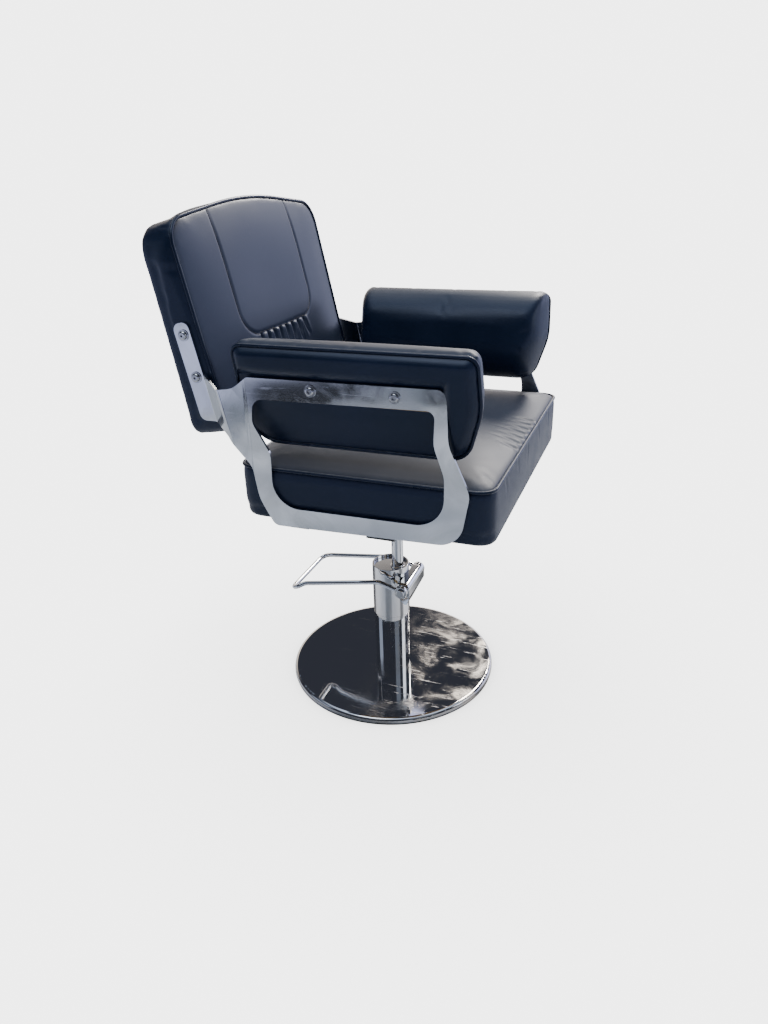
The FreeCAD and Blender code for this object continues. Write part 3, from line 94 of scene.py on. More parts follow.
def make_camera():
    """The photograph's own camera."""
    forward = Vector((
        -math.sin(CAMERA_YAW) * math.cos(CAMERA_PITCH),
        math.cos(CAMERA_YAW) * math.cos(CAMERA_PITCH),
        math.sin(CAMERA_PITCH),
    ))
    right = Vector((math.cos(CAMERA_YAW), math.sin(CAMERA_YAW), 0))
    up = right.cross(forward)
    rolled_right = math.cos(CAMERA_ROLL) * right + math.sin(CAMERA_ROLL) * up
    rolled_up = -math.sin(CAMERA_ROLL) * right + math.cos(CAMERA_ROLL) * up
    lens = bpy.data.cameras.new("photo_camera")
    lens.sensor_width = SENSOR
    lens.lens = SENSOR * FOCAL_PIXELS / LONG_SIDE_PIXELS
    lens.clip_start = NEAREST_SEEN
    camera = bpy.data.objects.new("photo_camera", lens)
    turn = Matrix((rolled_right, rolled_up, -forward)).transposed().to_4x4()
    camera.matrix_world = Matrix.Translation(CAMERA_PLACE) @ turn
    bpy.context.collection.objects.link(camera)
    bpy.context.scene.camera = camera


def make_softbox(name, place, size, watts, colour):
    """A large rectangular lamp that faces the chair's middle."""
    lamp = bpy.data.lights.new(name, "AREA")
    lamp.shape = "RECTANGLE"
    lamp.size = size[0]
    lamp.size_y = size[1]
    lamp.energy = watts
    lamp.color = colour
    holder = bpy.data.objects.new(name, lamp)
    holder.location = place
    holder.rotation_euler = (Vector(CHAIR_MIDDLE) - Vector(place)).to_track_quat("-Z", "Y").to_euler()
    bpy.context.collection.objects.link(holder)


def make_light():
    """Soft lamps from above and before the chair, and a wide bright band of sky on its far side."""
    for name, place, size, watts, colour in LAMPS:
        make_softbox(name, place, size, watts, colour)
    world = bpy.data.worlds.new("studio")
    world.use_nodes = True
    tree = world.node_tree
    tree.nodes.clear()
    place = add_node(tree, "ShaderNodeTexCoord")
    split = add_node(tree, "ShaderNodeSeparateXYZ", None, Vector=place.outputs["Generated"])
    across, back, up = split.outputs
    sky = mix_colour(tree, spread(tree, up, *HIGH_SKY_UP), LOW_SKY, HIGH_SKY)
    rise = spread(tree, up, *BAND_RISE_UP)
    fall = spread(tree, up, *BAND_FALL_UP, 1.0, 0.0)
    far_side = spread(tree, across, *BAND_ACROSS)
    band = math_node(tree, "MULTIPLY", math_node(tree, "MULTIPLY", rise, fall), far_side)
    band_colour = mix_colour(tree, spread(tree, back, *BAND_BACK), BAND_FRONT, BAND_REAR)
    lit_sky = mix_colour(tree, band, sky, band_colour)
    hazy = math_node(tree, "MAXIMUM", spread(tree, up, *HAZE_UP), spread(tree, across, *HAZE_ACROSS))
    flat_way = add_node(tree, "ShaderNodeCombineXYZ", None, X=across, Y=back, Z=0.0)
    patches = add_node(tree, "ShaderNodeTexNoise", None, Vector=flat_way.outputs[0], Scale=PATCH_SCALE,
                       Detail=2.0)
    low_ground = mix_colour(tree, spread(tree, patches.outputs["Fac"], *PATCH_EDGE), DARK_GROUND, LIT_GROUND)
    ground = mix_colour(tree, hazy, low_ground, HAZE)
    surroundings = mix_colour(tree, spread(tree, up, *HORIZON_UP), ground, lit_sky)
    seen = add_node(tree, "ShaderNodeLightPath").outputs["Is Camera Ray"]
    shown = mix_colour(tree, seen, surroundings, BACKDROP)
    background = add_node(tree, "ShaderNodeBackground", None, Color=shown, Strength=1.0)
    output = add_node(tree, "ShaderNodeOutputWorld")
    tree.links.new(background.outputs["Background"], output.inputs["Surface"])
    bpy.context.scene.world = world


# Shader helpers

def feed(tree, socket, value):
    """Links a node's output to a socket, or sets the socket to a plain value."""
    if isinstance(value, bpy.types.NodeSocket):
        tree.links.new(value, socket)
    else:
        socket.default_value = value


def add_node(tree, kind, settings=None, **inputs):
    """Adds a node with its settings and input values; spaces in an input's name are underscores."""
    node = tree.nodes.new(kind)
    for key, value in (settings or {}).items():
        setattr(node, key, value)
    for key, value in inputs.items():
        feed(tree, node.inputs[key.replace("_", " ")], value)
    return node


def math_node(tree, operation, first, second=0.0, clamp=False):
    """The result of one sum on two values."""
    node = add_node(tree, "ShaderNodeMath", {"operation": operation, "use_clamp": clamp})
    for socket, value in zip(node.inputs, (first, second)):
        feed(tree, socket, value)
    return node.outputs[0]


def spread(tree, value, low, high, to_low=0.0, to_high=1.0):
    """Maps a value's range to another, held at both ends."""
    node = add_node(tree, "ShaderNodeMapRange", None, Value=value, From_Min=low, From_Max=high,
                    To_Min=to_low, To_Max=to_high)
    return node.outputs["Result"]


def mix_colour(tree, share, first, second):
    """A colour between two others; the node's sockets 6, 7 and output 2 are those for colours."""
    node = add_node(tree, "ShaderNodeMix", {"data_type": "RGBA"})
    for socket, value in ((0, share), (6, first), (7, second)):
        feed(tree, node.inputs[socket], value)
    return node.outputs[2]


def new_group(name, inputs, outputs):
    """An empty shader group with its named inputs and outputs."""
    group = bpy.data.node_groups.new(name, "ShaderNodeTree")
    kinds = {"vector": "NodeSocketVector", "value": "NodeSocketFloat"}
    for label, kind in inputs:
        group.interface.new_socket(label, in_out="INPUT", socket_type=kinds[kind])
    for label, kind in outputs:
        group.interface.new_socket(label, in_out="OUTPUT", socket_type=kinds[kind])
    entry = group.nodes.new("NodeGroupInput")
    leave = group.nodes.new("NodeGroupOutput")
    return group, entry, leave


def use_group(tree, group, **inputs):
    """Adds a shader group with its input values."""
    node = tree.nodes.new("ShaderNodeGroup")
    node.node_tree = group
    for key, value in inputs.items():
        feed(tree, node.inputs[key.replace("_", " ")], value)
    return node


PEBBLE_SCALE = 700.0
FINE_SHARE = 0.45
DRIFT_SCALE = 7.0
DRIFT_SPAN = (0.3, 0.7)
DUST_SCALE = 160.0
DUST_SPAN = (0.62, 0.72)


def leather_grain_group():
    """Fine pebbled grain with broad tone drift, for leatherette."""
    group, entry, leave = new_group(
        "leather_grain",
        (("Place", "vector"),),
        (("Height", "value"), ("Drift", "value"), ("Dust", "value")),
    )
    pebble = add_node(group, "ShaderNodeTexVoronoi", {"feature": "SMOOTH_F1"},
                      Vector=entry.outputs["Place"], Scale=PEBBLE_SCALE, Smoothness=0.6)
    fine = add_node(group, "ShaderNodeTexNoise", None, Vector=entry.outputs["Place"],
                    Scale=PEBBLE_SCALE * FINE_SHARE, Detail=3.0, Roughness=0.6)
    fine_part = math_node(group, "MULTIPLY", fine.outputs["Fac"], FINE_SHARE)
    group.links.new(math_node(group, "ADD", pebble.outputs["Distance"], fine_part), leave.inputs["Height"])
    drift = add_node(group, "ShaderNodeTexNoise", None, Vector=entry.outputs["Place"],
                     Scale=DRIFT_SCALE, Detail=4.0, Roughness=0.55)
    group.links.new(spread(group, drift.outputs["Fac"], *DRIFT_SPAN), leave.inputs["Drift"])
    specks = add_node(group, "ShaderNodeTexNoise", None, Vector=entry.outputs["Place"],
                      Scale=DUST_SCALE, Detail=6.0, Roughness=0.75)
    group.links.new(spread(group, specks.outputs["Fac"], *DUST_SPAN), leave.inputs["Dust"])
    return group


LINE_STRETCH = (1.0, 0.06, 1.0)
LINE_TURN = (0.35, 0.2, 0.5)
LINE_SPAN = (0.6, 0.68)
SMEAR_SPAN = (0.42, 0.68)


def wiped_metal_group():
    """Hairline scratches and cloudy wipe marks, for bright metal."""
    group, entry, leave = new_group(
        "wiped_metal",
        (("Place", "vector"), ("Line Scale", "value"), ("Smear Scale", "value")),
        (("Scratch", "value"), ("Smear", "value")),
    )
    stretched = add_node(group, "ShaderNodeMapping", None, Vector=entry.outputs["Place"])
    stretched.inputs["Scale"].default_value = LINE_STRETCH
    stretched.inputs["Rotation"].default_value = LINE_TURN
    lines = add_node(group, "ShaderNodeTexNoise", None, Vector=stretched.outputs[0],
                     Scale=entry.outputs["Line Scale"], Detail=5.0, Roughness=0.7)
    group.links.new(spread(group, lines.outputs["Fac"], *LINE_SPAN), leave.inputs["Scratch"])
    smear = add_node(group, "ShaderNodeTexNoise", None, Vector=entry.outputs["Place"],
                     Scale=entry.outputs["Smear Scale"], Detail=5.0, Roughness=0.62, Distortion=0.8)
    group.links.new(spread(group, smear.outputs["Fac"], *SMEAR_SPAN), leave.inputs["Smear"])
    return group


def new_material(name):
    """A material with an empty Principled shader; returns it, its tree, the shader and Object coordinates."""
    material = bpy.data.materials.new(name)
    material.use_nodes = True
    tree = material.node_tree
    shader = tree.nodes["Principled BSDF"]
    place = tree.nodes.new("ShaderNodeTexCoord").outputs["Object"]
    return material, tree, shader, place


GRAIN = leather_grain_group()
WIPED = wiped_metal_group()


# Up-facing faces are paled towards one tone: partly dust, partly painted sheen where the tops catch the light
UP_SPAN = (0.7, 0.93)
TOP_DUST_AND_SHEEN_LEVEL = 0.42
TOP_DUST_AND_SHEEN_DRIFT = (0.55, 1.0)
WORN_ROUGHER = 0.17
SPECK_LEVEL = 0.12
DUST_AND_SHEEN_TONE = (0.14, 0.14, 0.145, 1)
GRAIN_STRENGTH = 0.35
LEATHER_SPECULAR = 0.31
LEATHER_TINT = (0.74, 0.81, 1.0, 1)
LEATHER_COAT = 0.08
LEATHER_COAT_ROUGHNESS = 0.3


def leatherette(name, dark, light, rough_low, rough_high, grain_depth):
    """Coated upholstery cloth: near-black navy, softly shining, finely grained, paler where it faces up, as
    dust and painted sheen.
    """
    material, tree, shader, place = new_material(name)
    grain = use_group(tree, GRAIN, Place=place)
    tone = mix_colour(tree, grain.outputs["Drift"], (*dark, 1), (*light, 1))
    facing = add_node(tree, "ShaderNodeSeparateXYZ", None,
                      Vector=tree.nodes["Texture Coordinate"].outputs["Normal"])
    faces_up = spread(tree, facing.outputs["Z"], *UP_SPAN)
    # Painted sheen with dust: faces that look up are mixed towards the pale tone, and random dust specks are
    # added
    top_dust_and_sheen_share = math_node(tree, "MULTIPLY", faces_up, TOP_DUST_AND_SHEEN_LEVEL)
    top_dust_and_sheen = math_node(tree, "MULTIPLY", top_dust_and_sheen_share, spread(tree, grain.outputs["Drift"], 0.0, 1.0, *TOP_DUST_AND_SHEEN_DRIFT))
    specks = math_node(tree, "MULTIPLY", grain.outputs["Dust"], SPECK_LEVEL)
    dust_and_sheen = math_node(tree, "ADD", specks, top_dust_and_sheen, True)
    tree.links.new(mix_colour(tree, dust_and_sheen, tone, DUST_AND_SHEEN_TONE), shader.inputs["Base Color"])
    rough = spread(tree, grain.outputs["Drift"], 0.0, 1.0, rough_low, rough_high)
    rougher = math_node(tree, "MULTIPLY", faces_up, WORN_ROUGHER)
    tree.links.new(math_node(tree, "ADD", rough, rougher), shader.inputs["Roughness"])
    bump = add_node(tree, "ShaderNodeBump", None, Height=grain.outputs["Height"], Strength=GRAIN_STRENGTH,
                    Distance=grain_depth)
    tree.links.new(bump.outputs[0], shader.inputs["Normal"])
    shader.inputs["Specular IOR Level"].default_value = LEATHER_SPECULAR
    shader.inputs["Specular Tint"].default_value = LEATHER_TINT
    shader.inputs["Coat Weight"].default_value = LEATHER_COAT
    shader.inputs["Coat Roughness"].default_value = LEATHER_COAT_ROUGHNESS
    return material


SCRATCH_ROUGHER = 0.035
SCRATCH_STRENGTH = 0.3


def bright_metal(name, clean, top_dust_and_sheen, rough_clean, rough_worn, smear_scale=9.0, line_scale=120.0,
                 scratch_depth=0.02 * MM):
    """Polished or plated metal with wipe marks and hairline scratches."""
    material, tree, shader, place = new_material(name)
    marks = use_group(tree, WIPED, Place=place, Smear_Scale=smear_scale, Line_Scale=line_scale)
    tree.links.new(mix_colour(tree, marks.outputs["Smear"], (*clean, 1), (*top_dust_and_sheen, 1)),
                   shader.inputs["Base Color"])
    rough = spread(tree, marks.outputs["Smear"], 0.0, 1.0, rough_clean, rough_worn)
    scratched = math_node(tree, "MULTIPLY", marks.outputs["Scratch"], SCRATCH_ROUGHER)
    tree.links.new(math_node(tree, "ADD", rough, scratched), shader.inputs["Roughness"])
    bump = add_node(tree, "ShaderNodeBump", None, Height=marks.outputs["Scratch"],
                    Strength=SCRATCH_STRENGTH, Distance=scratch_depth)
    tree.links.new(bump.outputs[0], shader.inputs["Normal"])
    shader.inputs["Metallic"].default_value = 1.0
    return material


MOTTLE_SPAN = (0.35, 0.65)
TOOTH_SPAN = (0.3, 0.7)
ROUGHNESS_SWING = 0.08
TOOTH_STRENGTH = 0.4


def rough_solid(name, dark, light, roughness, scale, depth, metallic=0.0):
    """Rubber, paint, cast metal or raw board: mottled, with a fine tooth."""
    material, tree, shader, place = new_material(name)
    mottle = add_node(tree, "ShaderNodeTexNoise", None, Vector=place, Scale=scale, Detail=6.0, Roughness=0.65)
    light_share = spread(tree, mottle.outputs["Fac"], *MOTTLE_SPAN)
    tree.links.new(mix_colour(tree, light_share, (*dark, 1), (*light, 1)), shader.inputs["Base Color"])
    rough = spread(tree, mottle.outputs["Fac"], *TOOTH_SPAN, roughness - ROUGHNESS_SWING,
                   roughness + ROUGHNESS_SWING)
    tree.links.new(rough, shader.inputs["Roughness"])
    bump = add_node(tree, "ShaderNodeBump", None, Height=mottle.outputs["Fac"], Strength=TOOTH_STRENGTH,
                    Distance=depth)
    tree.links.new(bump.outputs[0], shader.inputs["Normal"])
    shader.inputs["Metallic"].default_value = metallic
    return material


# Soft pieces: closed forms from rounded outlines at several levels, then inflated as cloth

RUN_STEPS = 14
CORNER_STEPS = 9
CORD_SIDES = 10
PIPING_RADIUS = 3 * MM
SEAM = 6.3 * MM
SEAM_DEPTH = 2.2 * MM
SEAM_WIDTH = 4.5 * MM
START_SMALLER = 1.5 * MM
VOXEL = 6 * MM
SMALLEST_GAP = 1e-9

# How a crown rises (share of its height) as it leaves its seam (share of its reach)
CROWN_SHARES = ((0.24, 0.02), (0.44, 0.07), (0.6, 0.15), (0.74, 0.27), (0.86, 0.44), (0.95, 0.68), (1.0, 1.0))

# Where a boxing turns in to its cord: how far below the cord, and how far inside the outline
TURN_IN = ((9 * MM, START_SMALLER), (4 * MM, 3.5 * MM), (0.0, 4.5 * MM))


def rounded_outline(corners):
    """Points round a closed outline of (across, up, radius) corners, the same count for any sizes."""
    count = len(corners)
    places = [Vector(corner[:2]) for corner in corners]
    arcs = []
    for k in range(count):
        back = (places[k - 1] - places[k]).normalized()
        ahead = (places[(k + 1) % count] - places[k]).normalized()
        half = back.angle(ahead) / 2
        radius = corners[k][2]
        middle = places[k] + (back + ahead).normalized() * radius / math.sin(half)
        start = places[k] + back * radius / math.tan(half) - middle
        end = places[k] + ahead * radius / math.tan(half) - middle
        sweep = start.angle_signed(end)
        arcs.append([middle + Matrix.Rotation(-sweep * i / CORNER_STEPS, 2) @ start
                     for i in range(CORNER_STEPS + 1)])
    points = []
    for k in range(count):
        last = arcs[k - 1][-1]
        for i in range(1, RUN_STEPS):
            points.append(last.lerp(arcs[k][0], i / RUN_STEPS))
        points += arcs[k]
    return points


def moved_in(corners, across, along=None):
    """An outline's corners moved in, by the same way across and along it unless both are given."""
    along = across if along is None else along
    return [(x - out_x * across, y - out_y * along, radius) for x, y, radius, out_x, out_y in corners]


def ring(lift, across, along=None, tilt=0.0):
    """One level of a soft form: its height, how far it lies inside the outline, and its slope."""
    return lift, across, across if along is None else along, tilt


def turned_in(lift):
    """The rings where a boxing turns in to its cord, which lies at a height."""
    return [ring(lift - below, inside) for below, inside in TURN_IN]


def crown(start, height, reach):
    """The rings of a cushion's crown, from its seam to its flat middle."""
    return [ring(start + rise * height, SEAM + share * reach) for rise, share in CROWN_SHARES]


def new_piece(name, bm, material):
    """A smoothly shaded piece from a bmesh, with its faces outwards."""
    mesh = bpy.data.meshes.new(name)
    bmesh.ops.recalc_face_normals(bm, faces=bm.faces[:])
    bm.to_mesh(mesh)
    bm.free()
    piece = bpy.data.objects.new(name, mesh)
    bpy.context.collection.objects.link(piece)
    mesh.materials.append(material)
    mesh.polygons.foreach_set("use_smooth", [True] * len(mesh.polygons))
    return piece


def stacked_form(name, corners, levels, to_place, material):
    """A closed form through rings of one outline."""
    bm = bmesh.new()
    rings = []
    for lift, across, along, tilt in levels:
        outline = rounded_outline(moved_in(corners, across, along))
        rings.append([bm.verts.new(to_place(point.x, point.y, lift + tilt * point.y)) for point in outline])
    for low, high in zip(rings, rings[1:]):
        for k in range(len(low)):
            j = (k + 1) % len(low)
            bm.faces.new((low[k], low[j], high[j], high[k]))
    for edge in (rings[0], rings[-1]):
        centre = bm.verts.new(sum((vert.co for vert in edge), Vector()) / len(edge))
        for k in range(len(edge)):
            bm.faces.new((edge[k], edge[(k + 1) % len(edge)], centre))
    return new_piece(name, bm, material)


def baked(piece):
    """Applies a piece's modifiers by taking its evaluated mesh."""
    view = bpy.context.evaluated_depsgraph_get()
    view.update()
    mesh = bpy.data.meshes.new_from_object(piece.evaluated_get(view), depsgraph=view)
    piece.modifiers.clear()
    old = piece.data
    piece.data = mesh
    bpy.data.meshes.remove(old)
    mesh.polygons.foreach_set("use_smooth", [True] * len(mesh.polygons))
    return piece


def remeshed(piece, voxel):
    """Rebuilds a closed form from even faces, which the cloth needs."""
    maker = piece.modifiers.new("remesh", "REMESH")
    maker.mode = "VOXEL"
    maker.voxel_size = voxel
    return baked(piece)


def coordinates(piece):
    """The places of a piece's points, one row for each."""
    points = np.empty(len(piece.data.vertices) * 3)
    piece.data.vertices.foreach_get("co", points)
    return points.reshape(-1, 3)


def set_coordinates(piece, points):
    """Moves a piece's points to new places."""
    piece.data.vertices.foreach_set("co", points.reshape(-1))
    piece.data.update()


def normals(piece):
    """The way that a piece's surface faces at each of its points."""
    values = np.empty(len(piece.data.vertices) * 3)
    piece.data.vertices.foreach_get("normal", values)
    return values.reshape(-1, 3)


CLOTH_FRAMES = 20
CLOTH_QUALITY = 4
CLOTH_MASS = 0.35
STRETCH_STIFFNESS = 22
SHEAR_STIFFNESS = 9
BENDING_STIFFNESS = 1.5


def inflated(piece, hold, pressure, cap):
    """Swells a form as taut cloth. hold is from 0 to 1 for each point; cap is how far a point may move."""
    start = coordinates(piece).copy()
    group = piece.vertex_groups.new(name="held")
    for index, weight in enumerate(hold):
        if weight > 0:
            group.add([index], float(weight), "REPLACE")
    cloth = piece.modifiers.new("cloth", "CLOTH")
    settings = cloth.settings
    settings.quality = CLOTH_QUALITY
    settings.mass = CLOTH_MASS
    settings.tension_stiffness = STRETCH_STIFFNESS
    settings.compression_stiffness = STRETCH_STIFFNESS
    settings.shear_stiffness = SHEAR_STIFFNESS
    settings.bending_stiffness = BENDING_STIFFNESS
    settings.use_pressure = True
    settings.uniform_pressure_force = pressure
    settings.vertex_group_mass = "held"
    settings.effector_weights.gravity = 0
    cloth.collision_settings.use_collision = False
    cloth.collision_settings.use_self_collision = False
    cloth.point_cache.frame_start = 1
    cloth.point_cache.frame_end = CLOTH_FRAMES
    scene = bpy.context.scene
    for step in range(1, CLOTH_FRAMES + 1):
        scene.frame_set(step)
    view = bpy.context.evaluated_depsgraph_get()
    swollen = np.empty(len(start) * 3)
    piece.evaluated_get(view).data.vertices.foreach_get("co", swollen)
    moves = swollen.reshape(-1, 3) - start
    reach = np.linalg.norm(moves, axis=1, keepdims=True)
    set_coordinates(piece, start + moves * np.minimum(1.0, cap / np.maximum(reach, SMALLEST_GAP)))
    piece.modifiers.clear()
    piece.vertex_groups.clear()
    scene.frame_set(1)
    return piece


def finer(piece):
    """Splits each face in four and rounds the surface through them."""
    maker = piece.modifiers.new("finer", "SUBSURF")
    maker.levels = 1
    maker.render_levels = 1
    return baked(piece)


def path_distance(points, path):
    """Each point's distance to a run of straight pieces, how far along it that place is, and its length."""
    nearest = np.full(len(points), np.inf)
    along = np.zeros(len(points))
    travelled = 0.0
    for first, second in zip(path, path[1:]):
        first = np.array(first)
        step = np.array(second) - first
        length = np.linalg.norm(step)
        share = np.clip((points - first) @ step / length ** 2, 0, 1)
        gap = np.linalg.norm(points - (first + share[:, None] * step), axis=1)
        closer = gap < nearest
        nearest[closer] = gap[closer]
        along[closer] = travelled + share[closer] * length
        travelled += length
    return nearest, along, travelled


CREASE_FADE = 0.7
RIDGE_SHARE = 0.3
RIDGE_WIDTHS_OUT = 1.7


def creased(piece, creases):
    """Presses creases (path, depth, width) into a piece; each starts softly and fades towards its end."""
    for path, depth, width in creases:
        points = coordinates(piece)
        gap, along, length = path_distance(points, path)
        fade = np.clip(along / width, 0, 1) * np.clip(1.0 - along / length, 0, 1) ** CREASE_FADE
        ridge = RIDGE_SHARE * np.exp(-((gap - RIDGE_WIDTHS_OUT * width) / width) ** 2)
        move = depth * fade * (np.exp(-(gap / width) ** 2) - ridge)
        set_coordinates(piece, points - normals(piece) * move[:, None])
    return piece


def sewn(piece, path, depth, width):
    """Draws a seam into a piece at an even depth along its whole path."""
    points = coordinates(piece)
    gap = path_distance(points, path)[0]
    set_coordinates(piece, points - normals(piece) * (depth * np.exp(-(gap / width) ** 2))[:, None])
    return piece


CORD_TOUCH = 2.2 * MM
CORD_REACH = 13 * MM


def met_by_cord(piece, path):
    """Draws a cover to the cord sewn into its seam, so that no gap shows between the two."""
    points = coordinates(piece)
    gap, along = path_distance(points, path)[:2]
    corners = np.array(path)
    travelled = np.concatenate(([0.0], np.cumsum(np.linalg.norm(np.diff(corners, axis=0), axis=1))))
    nearest = np.stack([np.interp(along, travelled, corners[:, axis]) for axis in range(3)], axis=1)
    share = np.clip((gap - CORD_TOUCH) / (CORD_REACH - CORD_TOUCH), 0, 1)
    wanted = CORD_TOUCH + (gap - CORD_TOUCH) * share ** 2 * (3 - 2 * share)
    wanted = np.where(gap > CORD_TOUCH, wanted, gap)
    set_coordinates(piece, nearest + (points - nearest) * (wanted / np.maximum(gap, SMALLEST_GAP))[:, None])
    return piece


def cord_along(name, path, radius, material):
    """A round cord along a closed path of points."""
    bm = bmesh.new()
    turns = [2 * math.pi * i / CORD_SIDES for i in range(CORD_SIDES)]
    rings = []
    side = None
    for k in range(len(path)):
        ahead = (path[(k + 1) % len(path)] - path[k - 1]).normalized()
        side = ahead.orthogonal() if side is None else side - ahead * side.dot(ahead)
        side.normalize()
        other = ahead.cross(side)
        rings.append([bm.verts.new(path[k] + radius * (math.cos(turn) * side + math.sin(turn) * other))
                      for turn in turns])
    start = rings[0]
    twist = min(range(CORD_SIDES), key=lambda i: (rings[-1][0].co - start[i].co).length)
    rings.append(start[twist:] + start[:twist])
    for low, high in zip(rings, rings[1:]):
        for i in range(CORD_SIDES):
            j = (i + 1) % CORD_SIDES
            bm.faces.new((low[i], low[j], high[j], high[i]))
    return new_piece(name, bm, material)


# Materials of the record's slots

DISC_SMEAR_SCALE = 13.0
DISC_LINE_SCALE = 170.0
DISC_FRONT_SPAN = (50 * MM, -90 * MM)
DISC_CLEAN = (0.58, 0.58, 0.6, 1)
DISC_WIPED = (0.72, 0.66, 0.58, 1)
DISC_SCRATCH_ROUGHER = (0.08, 0.42)
DISC_ROUGHNESS = (0.03, 0.36)
DISC_SCRATCH_STRENGTH = 0.35
DISC_SCRATCH_DEPTH = 0.03 * MM


def disc_chrome():
    """The base's plating: a dark mirror towards the rear, wiped, scratched and cloudy towards the front."""
    material, tree, shader, place = new_material("chrome_disc")
    marks = use_group(tree, WIPED, Place=place, Smear_Scale=DISC_SMEAR_SCALE, Line_Scale=DISC_LINE_SCALE)
    split = add_node(tree, "ShaderNodeSeparateXYZ", None, Vector=place)
    front = spread(tree, split.outputs["Y"], *DISC_FRONT_SPAN)
    wiped = math_node(tree, "MULTIPLY", front, marks.outputs["Smear"])
    tree.links.new(mix_colour(tree, wiped, DISC_CLEAN, DISC_WIPED), shader.inputs["Base Color"])
    rougher = spread(tree, front, 0.0, 1.0, *DISC_SCRATCH_ROUGHER)
    lines = math_node(tree, "MULTIPLY", marks.outputs["Scratch"], rougher)
    cloudy = spread(tree, wiped, 0.0, 1.0, *DISC_ROUGHNESS)
    tree.links.new(math_node(tree, "ADD", cloudy, lines), shader.inputs["Roughness"])
    bump = add_node(tree, "ShaderNodeBump", None, Height=marks.outputs["Scratch"],
                    Strength=DISC_SCRATCH_STRENGTH, Distance=DISC_SCRATCH_DEPTH)
    tree.links.new(bump.outputs[0], shader.inputs["Normal"])
    shader.inputs["Metallic"].default_value = 1.0
    return material


LEATHER = leatherette("leatherette", (0.0045, 0.0098, 0.024), (0.008, 0.015, 0.036), 0.32, 0.44, 0.12 * MM)
CORD_LEATHER = leatherette("piping", (0.004, 0.0085, 0.021), (0.007, 0.013, 0.031), 0.24, 0.34, 0.06 * MM)
THREAD = rough_solid("thread", (0.008, 0.008, 0.01), (0.02, 0.02, 0.024), 0.6, 900.0, 0.04 * MM)
CHROME = bright_metal("chrome", (0.8, 0.81, 0.83), (0.66, 0.66, 0.66), 0.03, 0.1)
DISC_CHROME = disc_chrome()
POLISHED = bright_metal("steel_polished", (0.8, 0.81, 0.83), (0.58, 0.59, 0.59), 0.06, 0.17, 9.0, 200.0,
                        0.005 * MM)
BOLT = bright_metal("bolt_steel", (0.5, 0.5, 0.51), (0.36, 0.36, 0.36), 0.1, 0.2, 60.0, 600.0)
SATIN = bright_metal("steel_satin", (0.62, 0.63, 0.64), (0.5, 0.5, 0.5), 0.22, 0.34, 30.0, 400.0)
DARK_STEEL = bright_metal("steel_dark", (0.34, 0.35, 0.37), (0.25, 0.25, 0.26), 0.3, 0.42, 30.0, 300.0)
BRONZE = bright_metal("bronze", (0.55, 0.4, 0.2), (0.4, 0.28, 0.14), 0.25, 0.38, 40.0, 400.0)
IRON = rough_solid("cast_iron", (0.03, 0.031, 0.033), (0.055, 0.055, 0.057), 0.62, 90.0, 0.4 * MM, 0.4)
RUBBER = rough_solid("rubber", (0.012, 0.012, 0.012), (0.022, 0.022, 0.022), 0.72, 220.0, 0.1 * MM)
PAINT = rough_solid("black_paint", (0.008, 0.008, 0.01), (0.014, 0.014, 0.016), 0.4, 500.0, 0.05 * MM)
PLY = rough_solid("plywood", (0.34, 0.23, 0.12), (0.46, 0.33, 0.19), 0.7, 35.0, 0.2 * MM)

# Slot, material and the nodes that have them
FINISHES = (
    ("chrome", CHROME, ("pump_shroud", "pump_head", "pump_top_cap", "rod_gland", "piston_rod", "pedal_loop",
                        "pedal_end_bolts")),
    ("chrome", DISC_CHROME, ("base_cover",)),
    ("cast_iron", IRON, ("base_weight_disc", "pump_foot")),
    ("rubber", RUBBER, ("base_rubber_ring", "piston_seal")),
    ("steel_dark", DARK_STEEL, ("pump_cylinder", "plunger_barrel", "piston_head")),
    ("steel_satin", SATIN, ("pump_plunger", "plunger_spring", "pedal_shaft", "pedal_fork")),
    ("bronze", BRONZE, ("pedal_shaft_bushes", "piston_thrust_washer")),
    ("black_paint", PAINT, ("seat_mount", "cross_rail_front", "cross_rail_rear")),
    ("plywood", PLY, ("seat_board", "armrest_board_left", "armrest_board_right")),
    ("steel_polished", POLISHED, ("side_plate_left", "side_plate_right")),
    ("bolt_steel", BOLT, ("mount_bolts", "armrest_bolts_left", "armrest_bolts_right", "armrest_washers_left",
                          "armrest_washers_right", "backrest_bolts_left", "backrest_bolts_right",
                          "backrest_washers_left", "backrest_washers_right")),
    ("leatherette", LEATHER, ("seat_cushion", "backrest_cushion", "armrest_pad_left", "armrest_pad_right")),
    ("piping", CORD_LEATHER, ("seat_piping", "backrest_piping", "armrest_piping_left",
                              "armrest_piping_right")),
)


def dress_nodes():
    """Gives each node of the frame its material, in its existing slots or in a new one."""
    for slot, material, names in FINISHES:
        for name in names:
            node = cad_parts[name]
            for holder in node.material_slots:
                holder.material = material
            if not node.material_slots:
                node.data.materials.append(material)


# Seat cushion

SEAT_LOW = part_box("seat_cushion")[0]
SEAT_CORD_LOW, SEAT_CORD_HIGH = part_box("seat_piping")
SEAT_CORNER = 28 * MM
SEAT_CROWN_REACH = 150 * MM
SEAT_CROWN = 17 * MM
SEAT_CORD_LIFT = (SEAT_CORD_LOW.z + SEAT_CORD_HIGH.z) / 2
SEAT_REAR_FULLER = 7 * MM
SEAT_FOOT_ROUND = 4 * MM
BOARD_EDGE = 22 * MM
BOARD_DEPTH = 14 * MM

# Up to a step, the cover's sides stand in to leave room for the tabs of the cross rails
RAIL_TAB_ROOM = 6.5 * MM
RAIL_TAB_TOP = 495 * MM
STEP_SLOPE = 7 * MM
STEP_HOLD_REACH = 10 * MM
STEP_SWELL = 1.2 * MM
COVER_SIDE = 294.8 * MM

SEAT_PRESSURE = 3.0
SEAT_SWELL = 5 * MM

